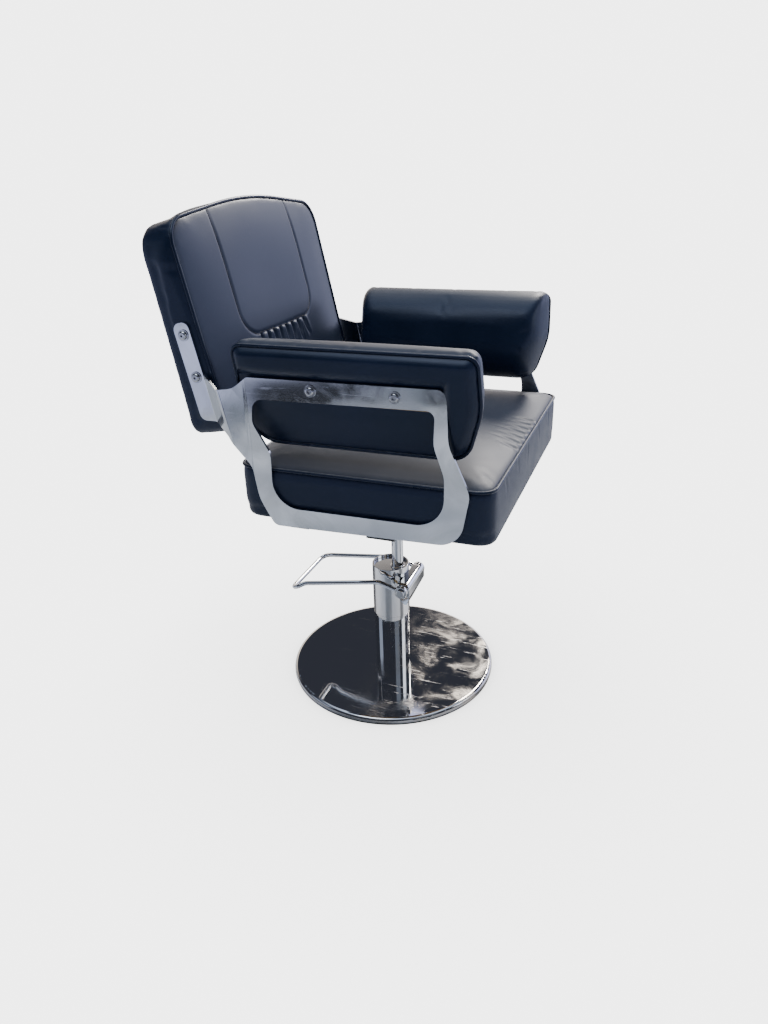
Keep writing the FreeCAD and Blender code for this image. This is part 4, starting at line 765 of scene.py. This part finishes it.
# Gathers in mm: place across, lean, and reach back from the front
SEAT_GATHERS = ((-86, 14, 52), (-58, 12, 84), (-30, 6, 66), (-2, 2, 96), (26, -5, 70), (54, -12, 88),
                (82, -16, 56))
SEAT_GATHER_START = 7 * MM
SEAT_GATHER_BEND = 30 * MM
SEAT_GATHER_LIFTS = (2 * MM, 8 * MM, 13 * MM)
SEAT_GATHER_DEPTH = 2.8 * MM
SEAT_GATHER_WIDTH = 5.5 * MM

# Folds on the front boxing in mm: place across, lean, and how far below the cord they end
SEAT_FOLDS = ((-206, 12, 40), (-110, 8, 34), (-20, -8, 46), (84, 8, 38), (196, -10, 44))
SEAT_FOLD_START = 5 * MM
SEAT_FOLD_DEPTH = 1.0 * MM
SEAT_FOLD_WIDTH = 7 * MM


def box_corners(low_x, low_y, high_x, high_y, radius):
    """The corners of an upright outline, each with the way that leads out of it."""
    return [(low_x, low_y, radius, -1, -1), (high_x, low_y, radius, 1, -1),
            (high_x, high_y, radius, 1, 1), (low_x, high_y, radius, -1, 1)]


SEAT_CORNERS = box_corners(SEAT_CORD_LOW.x, SEAT_CORD_LOW.y, SEAT_CORD_HIGH.x,
                           SEAT_CORD_HIGH.y + SEAT_REAR_FULLER, SEAT_CORNER)


def flat_place(x, y, lift):
    """A point of the seat, whose own axes are the frame's."""
    return Vector((x, y, lift))


def cord_path(corners, lift, to_place):
    """The centre line of a piping that lies just inside an outline."""
    return [to_place(point.x, point.y, lift) for point in rounded_outline(moved_in(corners, PIPING_RADIUS))]


def closed_run(path):
    """A closed path as a run of plain points that ends where it starts."""
    return [tuple(place) for place in path + path[:1]]


def run_of(to_place, *places):
    """A run of plain points from their places in a piece's own axes."""
    return [tuple(to_place(*place)) for place in places]


HOLD_REACH = 12 * MM
HOLD_STRENGTH = 1.6


def near_path(points, path):
    """How strongly each point is held near a path: 1 close to it, fading to 0 at the reach."""
    gap = path_distance(points, path)[0]
    return np.clip(HOLD_STRENGTH * (1 - gap / HOLD_REACH), 0, 1)


def make_seat():
    """The seat's cover over its foam, and its cord."""
    bottom = SEAT_LOW.z
    levels = [
        ring(bottom + BOARD_DEPTH, BOARD_EDGE + START_SMALLER),
        ring(bottom, BOARD_EDGE),
        ring(bottom, RAIL_TAB_ROOM * 2, SEAM),
        ring(bottom + SEAT_FOOT_ROUND, RAIL_TAB_ROOM, START_SMALLER),
        ring(RAIL_TAB_TOP, RAIL_TAB_ROOM, START_SMALLER),
        ring(RAIL_TAB_TOP + STEP_SLOPE, START_SMALLER),
    ]
    levels += turned_in(SEAT_CORD_LIFT) + crown(SEAT_CORD_LIFT, SEAT_CROWN, SEAT_CROWN_REACH)
    seat = stacked_form("seat_cover", SEAT_CORNERS, levels, flat_place, LEATHER)
    remeshed(seat, VOXEL)
    path = cord_path(SEAT_CORNERS, SEAT_CORD_LIFT, flat_place)
    seam = closed_run(path)
    points = coordinates(seat)
    below_step = np.clip((RAIL_TAB_TOP - points[:, 2]) / STEP_HOLD_REACH, 0, 1)
    inflated(seat, np.maximum(near_path(points, seam), below_step), SEAT_PRESSURE, SEAT_SWELL)
    finer(seat)
    points = coordinates(seat)
    limit = np.where(points[:, 2] < RAIL_TAB_TOP, COVER_SIDE - RAIL_TAB_ROOM + STEP_SWELL, COVER_SIDE)
    points[:, 0] = np.clip(points[:, 0], -limit, limit)
    set_coordinates(seat, points)
    sewn(seat, seam, SEAM_DEPTH, SEAM_WIDTH)
    met_by_cord(seat, seam)
    creased(seat, seat_creases())
    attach(seat, "seat")
    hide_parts("seat_cushion")
    cord = cord_along("seat_cord", path, PIPING_RADIUS, CORD_LEATHER)
    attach(cord, "seat")
    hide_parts("seat_piping")


def seat_creases():
    """Gathers behind the middle of the front piping, and folds on the front boxing."""
    front = SEAT_LOW.y
    start_lift, bend_lift, end_lift = [SEAT_CORD_LIFT + lift for lift in SEAT_GATHER_LIFTS]
    creases = []
    for place, lean, reach in SEAT_GATHERS:
        start = (place * MM, front + SEAT_GATHER_START, start_lift)
        bend = (place * MM + lean * MM / 2, front + SEAT_GATHER_BEND, bend_lift)
        end = (place * MM + lean * MM, front + reach * MM, end_lift)
        creases.append(((start, bend, end), SEAT_GATHER_DEPTH, SEAT_GATHER_WIDTH))
    for place, lean, drop in SEAT_FOLDS:
        start = (place * MM, front, SEAT_CORD_LIFT - SEAT_FOLD_START)
        end = (place * MM + lean * MM, front, SEAT_CORD_LIFT - drop * MM)
        creases.append(((start, end), SEAT_FOLD_DEPTH, SEAT_FOLD_WIDTH))
    return creases


# Backrest cushion, in the axes of its leaning front plane

BACK_FRONT_Y = 197.6 * MM
BACK_HEIGHT = 640 * MM
BACK_LEAN = math.radians(12.05)
BACK_HALF_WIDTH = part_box("backrest_piping")[1].x
BACK_BELOW = 22 * MM
BACK_ABOVE = 343 * MM
BACK_ARCH = 31 * MM
BACK_ARCH_RADIUS = 1000 * MM
BACK_TOP_CORNER = 48 * MM
BACK_BOTTOM_CORNER = 22 * MM
BACK_DEPTH = 82 * MM
BACK_TAPER = math.tan(math.radians(2.1))
BACK_CROWN = 6 * MM
BACK_REAR_CROWN = 10 * MM
BACK_CROWN_REACH = 115 * MM
BACK_PRESSURE = 2.6
BACK_SWELL = 3 * MM

# How far the arch's peak moves in for each step of the sides
ARCH_WAY_OUT = 1.1
BACK_CORNERS = [
    (-BACK_HALF_WIDTH, -BACK_BELOW, BACK_BOTTOM_CORNER, -1, -1),
    (BACK_HALF_WIDTH, -BACK_BELOW, BACK_BOTTOM_CORNER, 1, -1),
    (BACK_HALF_WIDTH, BACK_ABOVE, BACK_TOP_CORNER, 1, 1),
    (0.0, BACK_ABOVE + BACK_ARCH, BACK_ARCH_RADIUS, 0, ARCH_WAY_OUT),
    (-BACK_HALF_WIDTH, BACK_ABOVE, BACK_TOP_CORNER, -1, 1),
]

# The rear's rings: shares of its crown and of the crown's reach, then height and inset at the rear edge
BACK_REAR_SHARES = ((1.0, 1.0), (0.8, 0.5), (0.3, 0.14))
BACK_REAR_EDGE = ((3.3 * MM, 4 * MM), (11 * MM, START_SMALLER))

# The plates' strips press the sides in, and the cover swells above them
STRIP_PRESS = 0.4 * MM
STRIP_TOP = 195 * MM
STRIP_FADE = 90 * MM
SWELL_ABOVE_STRIP = 3 * MM

PANEL_HALF_WIDTH = 143 * MM
PANEL_FOOT = 121 * MM
PANEL_CORNER = 52 * MM
PANEL_CORNER_STEPS = 8
PANEL_SIDE_LIFT = 2 * MM
PANEL_FOOT_LIFT = 4 * MM
PANEL_SEAM_DEPTH = 2.4 * MM
PANEL_SEAM_WIDTH = 2.6 * MM

# Gathers in mm: place across, lean, and reach below the panel's seam
BACK_GATHERS = ((-86, -12, 40), (-61, -6, 54), (-37, 2, 46), (-12, -4, 60), (13, 3, 48), (38, 2, 58),
                (63, 7, 50), (88, 14, 42))
BACK_GATHER_START = 1 * MM
BACK_GATHER_LIFT = 2 * MM
BACK_GATHER_DEPTH = 6.5 * MM
BACK_GATHER_WIDTH = 5 * MM

# Folds on each side in mm: place along, rise, and how far behind the front they end
BACK_FOLDS = ((64, 8, 40), (262, 10, 34))
BACK_FOLD_START = 6 * MM
BACK_FOLD_DEPTH = 1.0 * MM
BACK_FOLD_WIDTH = 6 * MM


def back_place(x, along, lift):
    """A point of the backrest from its place across and along the front plane and its height before it."""
    return Vector((x, BACK_FRONT_Y + math.sin(BACK_LEAN) * along - math.cos(BACK_LEAN) * lift,
                   BACK_HEIGHT + math.cos(BACK_LEAN) * along + math.sin(BACK_LEAN) * lift))


def back_along(points):
    """How far up along the backrest's front plane each point lies."""
    y = points[:, 1] - BACK_FRONT_Y
    z = points[:, 2] - BACK_HEIGHT
    return math.sin(BACK_LEAN) * y + math.cos(BACK_LEAN) * z


def panel_line():
    """The sewn line round the backrest's middle panel, on the crown."""
    top = BACK_ABOVE + BACK_ARCH * (1 - PANEL_HALF_WIDTH / BACK_HALF_WIDTH) - SEAM
    side = [(PANEL_HALF_WIDTH, top - share * BACK_CROWN_REACH, rise * BACK_CROWN + PANEL_SIDE_LIFT)
            for rise, share in CROWN_SHARES]
    for k in range(PANEL_CORNER_STEPS + 1):
        turn = math.pi / 2 * k / PANEL_CORNER_STEPS
        side.append((PANEL_HALF_WIDTH - PANEL_CORNER * (1 - math.cos(turn)),
                     PANEL_FOOT + PANEL_CORNER * (1 - math.sin(turn)), BACK_CROWN + PANEL_FOOT_LIFT))
    return [back_place(*place) for place in side + [(-x, along, lift) for x, along, lift in reversed(side)]]


def make_backrest():
    """The backrest's cover over its foam, and its cord."""
    levels = [ring(-BACK_DEPTH - rise * BACK_REAR_CROWN, share * BACK_CROWN_REACH, tilt=BACK_TAPER)
              for rise, share in BACK_REAR_SHARES]
    levels += [ring(-BACK_DEPTH + above, inside, tilt=BACK_TAPER) for above, inside in BACK_REAR_EDGE]
    levels += turned_in(0.0) + crown(0.0, BACK_CROWN, BACK_CROWN_REACH)
    back = stacked_form("backrest_cover", BACK_CORNERS, levels, back_place, LEATHER)
    remeshed(back, VOXEL)
    path = cord_path(BACK_CORNERS, 0.0, back_place)
    seam = closed_run(path)
    inflated(back, near_path(coordinates(back), seam), BACK_PRESSURE, BACK_SWELL)
    finer(back)
    points = coordinates(back)
    above_strip = np.clip((back_along(points) - STRIP_TOP) / STRIP_FADE, 0, 1)
    limit = BACK_HALF_WIDTH - STRIP_PRESS + SWELL_ABOVE_STRIP * above_strip
    points[:, 0] = np.clip(points[:, 0], -limit, limit)
    set_coordinates(back, points)
    sewn(back, seam, SEAM_DEPTH, SEAM_WIDTH)
    met_by_cord(back, seam)
    sewn(back, [tuple(place) for place in panel_line()], PANEL_SEAM_DEPTH, PANEL_SEAM_WIDTH)
    creased(back, back_creases())
    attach(back, "seat")
    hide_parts("backrest_cushion")
    cord = cord_along("backrest_cord", path, PIPING_RADIUS, CORD_LEATHER)
    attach(cord, "seat")
    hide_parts("backrest_piping")


def back_creases():
    """Deep gathers below the panel's seam, and shallow folds on the sides."""
    creases = []
    for place, lean, reach in BACK_GATHERS:
        start = (place * MM, PANEL_FOOT - BACK_GATHER_START, BACK_CROWN + BACK_GATHER_LIFT)
        end = ((place + lean) * MM, PANEL_FOOT - reach * MM, BACK_CROWN)
        creases.append((run_of(back_place, start, end), BACK_GATHER_DEPTH, BACK_GATHER_WIDTH))
    for side in (-1, 1):
        for along, rise, depth in BACK_FOLDS:
            start = (side * BACK_HALF_WIDTH, along * MM, -BACK_FOLD_START)
            end = (side * BACK_HALF_WIDTH, (along + rise) * MM, -depth * MM)
            creases.append((run_of(back_place, start, end), BACK_FOLD_DEPTH, BACK_FOLD_WIDTH))
    return creases


# Armrest pads, in the axes of their leaning outer plane; made for +X and mirrored

PAD_FOOT = 267 * MM
PAD_BOTTOM = 611 * MM
PAD_LEAN = math.radians(11.4)
PAD_FRONT = 268 * MM
PAD_BACK = 154 * MM
PAD_HEIGHT = 182 * MM
PAD_THICKNESS = 84 * MM
PAD_VOXEL = 5.5 * MM
PAD_PRESSURE = 3.0
PAD_SWELL = 3 * MM
PAD_SEAM_DEPTH = 2.0 * MM

# Corners of the outline: place along and up as shares, radius in mm, and the way that leads out
PAD_SHARES = ((0.066, 0.0, 40, -0.6, -1), (0.9, 0.0, 50, 0.5, -1), (1.0, 0.165, 18, 1, -0.6),
              (1.0, 1.0, 18, 1, 1), (0.0095, 1.0, 18, -1, 1), (0.0, 0.5, 120, -1, 0))
PAD_CORNERS = [(-PAD_FRONT + u * (PAD_FRONT + PAD_BACK), v * PAD_HEIGHT, radius * MM, out_u, out_v)
               for u, v, radius, out_u, out_v in PAD_SHARES]

# Depth share of each ring, and in mm how far it lies inside the outline at the ends and at top and bottom
PAD_RINGS = ((1.0, 30, 52), (0.94, 24, 42), (0.86, 19, 32), (0.76, 15, 22.5), (0.64, 11.5, 14.5),
             (0.5, 8.5, 8), (0.36, 6, 3.5), (0.22, 3.5, 0.5), (0.12, 1.5, -1.2))

# Height and inset of the rings at the cord and on the outer face
PAD_FACE = ((-4 * MM, 3 * MM), (0.0, 4.5 * MM), (1.8 * MM, 12 * MM), (3.2 * MM, 22 * MM))

# Folds in mm: place along the top or up the front, lean, and how far inwards they end
PAD_TOP_FOLDS = ((-236, 8, 30), (-168, -6, 22), (-60, 7, 26), (40, -6, 20), (122, 6, 28))
PAD_FRONT_FOLDS = ((58, 6, 26), (104, -6, 34), (146, 7, 24))
PAD_FOLD_START = 7 * MM
PAD_FOLD_WIDTH = 5 * MM
PAD_FOLD_SINK = 3 * MM
PAD_TOP_FOLD_DEPTH = 0.9 * MM
PAD_FRONT_FOLD_DEPTH = 1.1 * MM

# The plate holds the outer face in, and the leather swells over its top and front bars
PLATE_INSIDE = 295.4 * MM
PLATE_TOP = 737 * MM
PLATE_FRONT = -206 * MM
OVER_ROLL = 11 * MM
OVER_ROLL_REACH = 17 * MM
OUTER_FROM = 0.6
OUTER_FADE = 0.3


def pad_place(u, v, lift):
    """A point of the left pad from its place along and up the outer plane and its height before it."""
    return Vector((PAD_FOOT + math.cos(PAD_LEAN) * lift + math.sin(PAD_LEAN) * v, u,
                   PAD_BOTTOM - math.sin(PAD_LEAN) * lift + math.cos(PAD_LEAN) * v))


def pad_creases():
    """Shallow folds that run inwards from the piping along the pad's top and front."""
    creases = []
    for u, lean, depth in PAD_TOP_FOLDS:
        start = (u * MM, PAD_HEIGHT, -PAD_FOLD_START)
        end = ((u + lean) * MM, PAD_HEIGHT - PAD_FOLD_SINK, -depth * MM)
        creases.append((run_of(pad_place, start, end), PAD_TOP_FOLD_DEPTH, PAD_FOLD_WIDTH))
    for v, lean, depth in PAD_FRONT_FOLDS:
        start = (-PAD_FRONT, v * MM, -PAD_FOLD_START)
        end = (-PAD_FRONT + PAD_FOLD_SINK, (v + lean) * MM, -depth * MM)
        creases.append((run_of(pad_place, start, end), PAD_FRONT_FOLD_DEPTH, PAD_FOLD_WIDTH))
    return creases


def rolled_over_plate(pad, seam):
    """Swells the outer face where no plate holds it in: above the top bar and before the front one."""
    points = coordinates(pad)
    outwards = normals(pad)[:, 0]
    free = np.maximum(points[:, 2] - PLATE_TOP, PLATE_FRONT - points[:, 1])
    share = np.clip(np.minimum(path_distance(points, seam)[0], free) / OVER_ROLL_REACH, 0, 1)
    outer = np.clip((outwards - OUTER_FROM) / OUTER_FADE, 0, 1)
    points[:, 0] += OVER_ROLL * np.sin(share * math.pi / 2) * outer
    set_coordinates(pad, points)


def mirrored(piece, name):
    """The same piece for the other side, with its faces still outwards."""
    mesh = piece.data.copy()
    mesh.name = name
    mesh.transform(Matrix.Diagonal((-1, 1, 1, 1)))
    mesh.flip_normals()
    twin = bpy.data.objects.new(name, mesh)
    bpy.context.collection.objects.link(twin)
    return twin


def make_armrests():
    """The left pad's cover and cord, and their mirror images."""
    levels = [ring(-share * PAD_THICKNESS, end * MM, top * MM) for share, end, top in PAD_RINGS]
    levels += [ring(lift, inside) for lift, inside in PAD_FACE]
    pad = stacked_form("armrest_cover_left", PAD_CORNERS, levels, pad_place, LEATHER)
    remeshed(pad, PAD_VOXEL)
    path = cord_path(PAD_CORNERS, 0.0, pad_place)
    seam = closed_run(path)
    inflated(pad, near_path(coordinates(pad), seam), PAD_PRESSURE, PAD_SWELL)
    finer(pad)
    rolled_over_plate(pad, seam)
    sewn(pad, seam, PAD_SEAM_DEPTH, SEAM_WIDTH)
    met_by_cord(pad, seam)
    creased(pad, pad_creases())
    points = coordinates(pad)
    behind_plate = (points[:, 2] < PLATE_TOP) & (points[:, 1] > PLATE_FRONT)
    points[:, 0] = np.minimum(points[:, 0], np.where(behind_plate, PLATE_INSIDE, np.inf))
    set_coordinates(pad, points)
    cord = cord_along("armrest_cord_left", path, PIPING_RADIUS, CORD_LEATHER)
    for side, cover, edge in (("left", pad, cord), ("right", mirrored(pad, "armrest_cover_right"),
                                                    mirrored(cord, "armrest_cord_right"))):
        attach(cover, "seat")
        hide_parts("armrest_pad_" + side)
        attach(edge, "seat")
        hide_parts("armrest_piping_" + side)


# Side plates: the frame's own sheet with its cut edges eased

EDGE_EASING = 0.5 * MM
EDGE_STEPS = 3
SAME_POINT = 0.01 * MM
FLAT_WITHIN = math.radians(0.6)
SHARP_OVER = math.radians(50)


def eased_copy(node_name, name, material, width):
    """A merged copy of a CAD node whose sharp edges get a small round that catches the light."""
    bm = bmesh.new()
    bm.from_mesh(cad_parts[node_name].data)
    bmesh.ops.remove_doubles(bm, verts=bm.verts[:], dist=SAME_POINT)
    bmesh.ops.dissolve_limit(bm, angle_limit=FLAT_WITHIN, verts=bm.verts[:], edges=bm.edges[:])
    piece = new_piece(name, bm, material)
    ease = piece.modifiers.new("ease", "BEVEL")
    ease.width = width
    ease.segments = EDGE_STEPS
    ease.limit_method = "ANGLE"
    ease.angle_limit = SHARP_OVER
    baked(piece)
    flatten = piece.modifiers.new("flatten", "WEIGHTED_NORMAL")
    flatten.mode = "FACE_AREA"
    flatten.weight = 100
    baked(piece)
    return piece


def make_side_plates():
    """Both side plates with their cut edges eased."""
    for side in ("left", "right"):
        plate = eased_copy("side_plate_" + side, "plate_" + side, POLISHED, EDGE_EASING)
        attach(plate, "seat")
        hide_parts("side_plate_" + side)


# Stitches along the sewn line, as Geometry Nodes instances made into one plain mesh

STITCH_PITCH = 4.4 * MM
STITCH_LENGTH = 3.5 * MM
STITCH_RADIUS = 0.45 * MM
STITCH_SIDES = 8
STITCH_PROUD = 0.1 * MM
FINE_STEPS = 6


def stitch_tree():
    """Lays short rods at an even pitch along a line of edges."""
    tree = bpy.data.node_groups.new("stitch_row", "GeometryNodeTree")
    tree.interface.new_socket("Geometry", in_out="INPUT", socket_type="NodeSocketGeometry")
    for label, value in (("Pitch", STITCH_PITCH), ("Length", STITCH_LENGTH), ("Radius", STITCH_RADIUS)):
        tree.interface.new_socket(label, in_out="INPUT", socket_type="NodeSocketFloat").default_value = value
    tree.interface.new_socket("Thread", in_out="INPUT", socket_type="NodeSocketMaterial")
    tree.interface.new_socket("Geometry", in_out="OUTPUT", socket_type="NodeSocketGeometry")
    entry = tree.nodes.new("NodeGroupInput")
    leave = tree.nodes.new("NodeGroupOutput")
    line = tree.nodes.new("GeometryNodeMeshToCurve")
    dots = add_node(tree, "GeometryNodeCurveToPoints", {"mode": "LENGTH"})
    rod = add_node(tree, "GeometryNodeMeshCylinder", None, Vertices=STITCH_SIDES)
    lay = tree.nodes.new("GeometryNodeInstanceOnPoints")
    solid = tree.nodes.new("GeometryNodeRealizeInstances")
    paint = tree.nodes.new("GeometryNodeSetMaterial")
    link = tree.links.new
    link(entry.outputs["Geometry"], line.inputs["Mesh"])
    link(line.outputs["Curve"], dots.inputs["Curve"])
    link(entry.outputs["Pitch"], dots.inputs["Length"])
    link(entry.outputs["Radius"], rod.inputs["Radius"])
    link(entry.outputs["Length"], rod.inputs["Depth"])
    link(dots.outputs["Points"], lay.inputs["Points"])
    link(dots.outputs["Rotation"], lay.inputs["Rotation"])
    link(rod.outputs["Mesh"], lay.inputs["Instance"])
    link(lay.outputs["Instances"], solid.inputs["Geometry"])
    link(solid.outputs["Geometry"], paint.inputs["Geometry"])
    link(entry.outputs["Thread"], paint.inputs["Material"])
    link(paint.outputs["Geometry"], leave.inputs["Geometry"])
    return tree


def stitch_row(name, row, body):
    """Stitches along a run of points, in one piece that rides on a body."""
    bm = bmesh.new()
    verts = [bm.verts.new(point) for point in row]
    for first, second in zip(verts, verts[1:]):
        bm.edges.new((first, second))
    mesh = bpy.data.meshes.new(name)
    bm.to_mesh(mesh)
    bm.free()
    piece = bpy.data.objects.new(name, mesh)
    bpy.context.collection.objects.link(piece)
    maker = piece.modifiers.new("stitches", "NODES")
    maker.node_group = stitch_tree()
    values = {"Pitch": STITCH_PITCH, "Length": STITCH_LENGTH, "Radius": STITCH_RADIUS, "Thread": THREAD}
    for item in maker.node_group.interface.items_tree:
        if item.in_out == "INPUT" and item.name in values:
            maker[item.identifier] = values[item.name]
    baked(piece)
    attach(piece, body)
    return piece


def on_surface(points, piece, raise_by):
    """Points moved to the nearest place of a piece's surface, just proud of it."""
    view = bpy.context.evaluated_depsgraph_get()
    view.update()
    placed = []
    for point in points:
        where, normal = piece.closest_point_on_mesh(Vector(point))[1:3]
        placed.append(where + normal * raise_by)
    return placed


def make_stitches():
    """The stitches round the backrest's middle panel."""
    back = bpy.data.objects["backrest_cover"]
    line = panel_line()
    fine = [first.lerp(second, k / FINE_STEPS) for first, second in zip(line, line[1:])
            for k in range(FINE_STEPS)]
    stitch_row("backrest_stitches", on_surface(fine, back, STITCH_PROUD), "seat")


# Floor: what the camera sees of it is the backdrop's own tone with a painted soft shadow, and the rest is for
# mirrors, with painted reflection tones near the base

FLOOR_RADIUS = 2.6
FLOOR_STEPS = 96
NEAR_BASE = (0.55, 0.85)
CLOUD_SCALE = 2.4
CLOUD_SPAN = (0.4, 0.62)
DULL_FLOOR = (0.5, 0.5, 0.5, 1)
PALE_FLOOR = (0.85, 0.84, 0.82, 1)
FAR_FLOOR = (0.42, 0.43, 0.47, 1)
FAR_ACROSS = (0.3, 1.2)
FLOOR_ROUGHNESS = 0.8
FLOOR_SPECULAR = 0.2
# The painted contact shadow: its darkest colour, its reach, and how ambient occlusion maps onto it
PAINTED_SHADOW = (0.0, 0.0, 0.0, 1)
PAINTED_SHADOW_REACH = 0.7
PAINTED_SHADOW_SPAN = (0.1, 1.0, 0.3, 1.0)

# Painted reflection: how pale the floor near the base looks in the chrome, seen by glossy rays only, by
# direction round it (share of a turn from -X)
PAINTED_REFLECTION_TONES = ((0.0, 0.35), (0.05, 0.36), (0.07, 0.7), (0.19, 0.65), (0.21, 0.2), (0.25, 0.24), (0.28, 1.0),
               (0.4, 0.9), (0.43, 0.1), (0.56, 0.08), (0.72, 0.12), (0.76, 0.8), (0.94, 0.7), (0.97, 0.35))


def make_floor():
    """A plain pale floor with a painted soft contact shadow, which meets the backdrop without an edge; near
    the base, mirrors see it in painted light and dark tones.
    """
    bm = bmesh.new()
    turns = [2 * math.pi * k / FLOOR_STEPS for k in range(FLOOR_STEPS)]
    bm.faces.new([bm.verts.new((FLOOR_RADIUS * math.cos(turn), FLOOR_RADIUS * math.sin(turn), 0))
                  for turn in turns])
    material, tree, shader, place = new_material("floor")
    rays = add_node(tree, "ShaderNodeLightPath")
    split = add_node(tree, "ShaderNodeSeparateXYZ", None, Vector=place)
    turn = math_node(tree, "ARCTAN2", split.outputs["Y"], split.outputs["X"])
    round_share = spread(tree, turn, -math.pi, math.pi)
    painted_reflection_tones = add_node(tree, "ShaderNodeValToRGB", None, Fac=round_share)
    stops = painted_reflection_tones.color_ramp.elements
    for k, (position, tone) in enumerate(PAINTED_REFLECTION_TONES):
        stop = stops[k] if k < len(stops) else stops.new(position)
        stop.position = position
        stop.color = (tone, tone, tone, 1)
    reach = add_node(tree, "ShaderNodeVectorMath", {"operation": "LENGTH"})
    tree.links.new(place, reach.inputs[0])
    near = spread(tree, reach.outputs["Value"], *NEAR_BASE, 1.0, 0.0)
    # Painted reflection: only glossy rays see these light and dark tones near the base
    painted_reflection_share = math_node(tree, "MULTIPLY", near, rays.outputs["Is Glossy Ray"])
    cloudy = add_node(tree, "ShaderNodeTexNoise", None, Vector=place, Scale=CLOUD_SCALE, Detail=3.0)
    varied = mix_colour(tree, spread(tree, cloudy.outputs["Fac"], *CLOUD_SPAN), DULL_FLOOR, PALE_FLOOR)
    varied = mix_colour(tree, spread(tree, split.outputs["X"], *FAR_ACROSS), varied, FAR_FLOOR)
    tone = mix_colour(tree, painted_reflection_share, varied, painted_reflection_tones.outputs["Color"])
    tree.links.new(tone, shader.inputs["Base Color"])
    shader.inputs["Roughness"].default_value = FLOOR_ROUGHNESS
    shader.inputs["Specular IOR Level"].default_value = FLOOR_SPECULAR
    # Painted shadow: camera rays see the floor glow in the backdrop's tone, darkened near the chair by
    # ambient occlusion
    painted_contact_shadow = add_node(tree, "ShaderNodeAmbientOcclusion", None, Distance=PAINTED_SHADOW_REACH)
    painted_shade = spread(tree, painted_contact_shadow.outputs["AO"], *PAINTED_SHADOW_SPAN)
    shown = mix_colour(tree, painted_shade, PAINTED_SHADOW, BACKDROP)
    glow = add_node(tree, "ShaderNodeEmission", None, Color=shown, Strength=1.0)
    mix = tree.nodes.new("ShaderNodeMixShader")
    tree.links.new(rays.outputs["Is Camera Ray"], mix.inputs[0])
    tree.links.new(shader.outputs["BSDF"], mix.inputs[1])
    tree.links.new(glow.outputs["Emission"], mix.inputs[2])
    tree.links.new(mix.outputs["Shader"], tree.nodes["Material Output"].inputs["Surface"])
    new_piece("floor", bm, material)


make_camera()
make_light()
make_floor()
dress_nodes()
make_seat()
make_backrest()
make_armrests()
make_side_plates()
make_stitches()
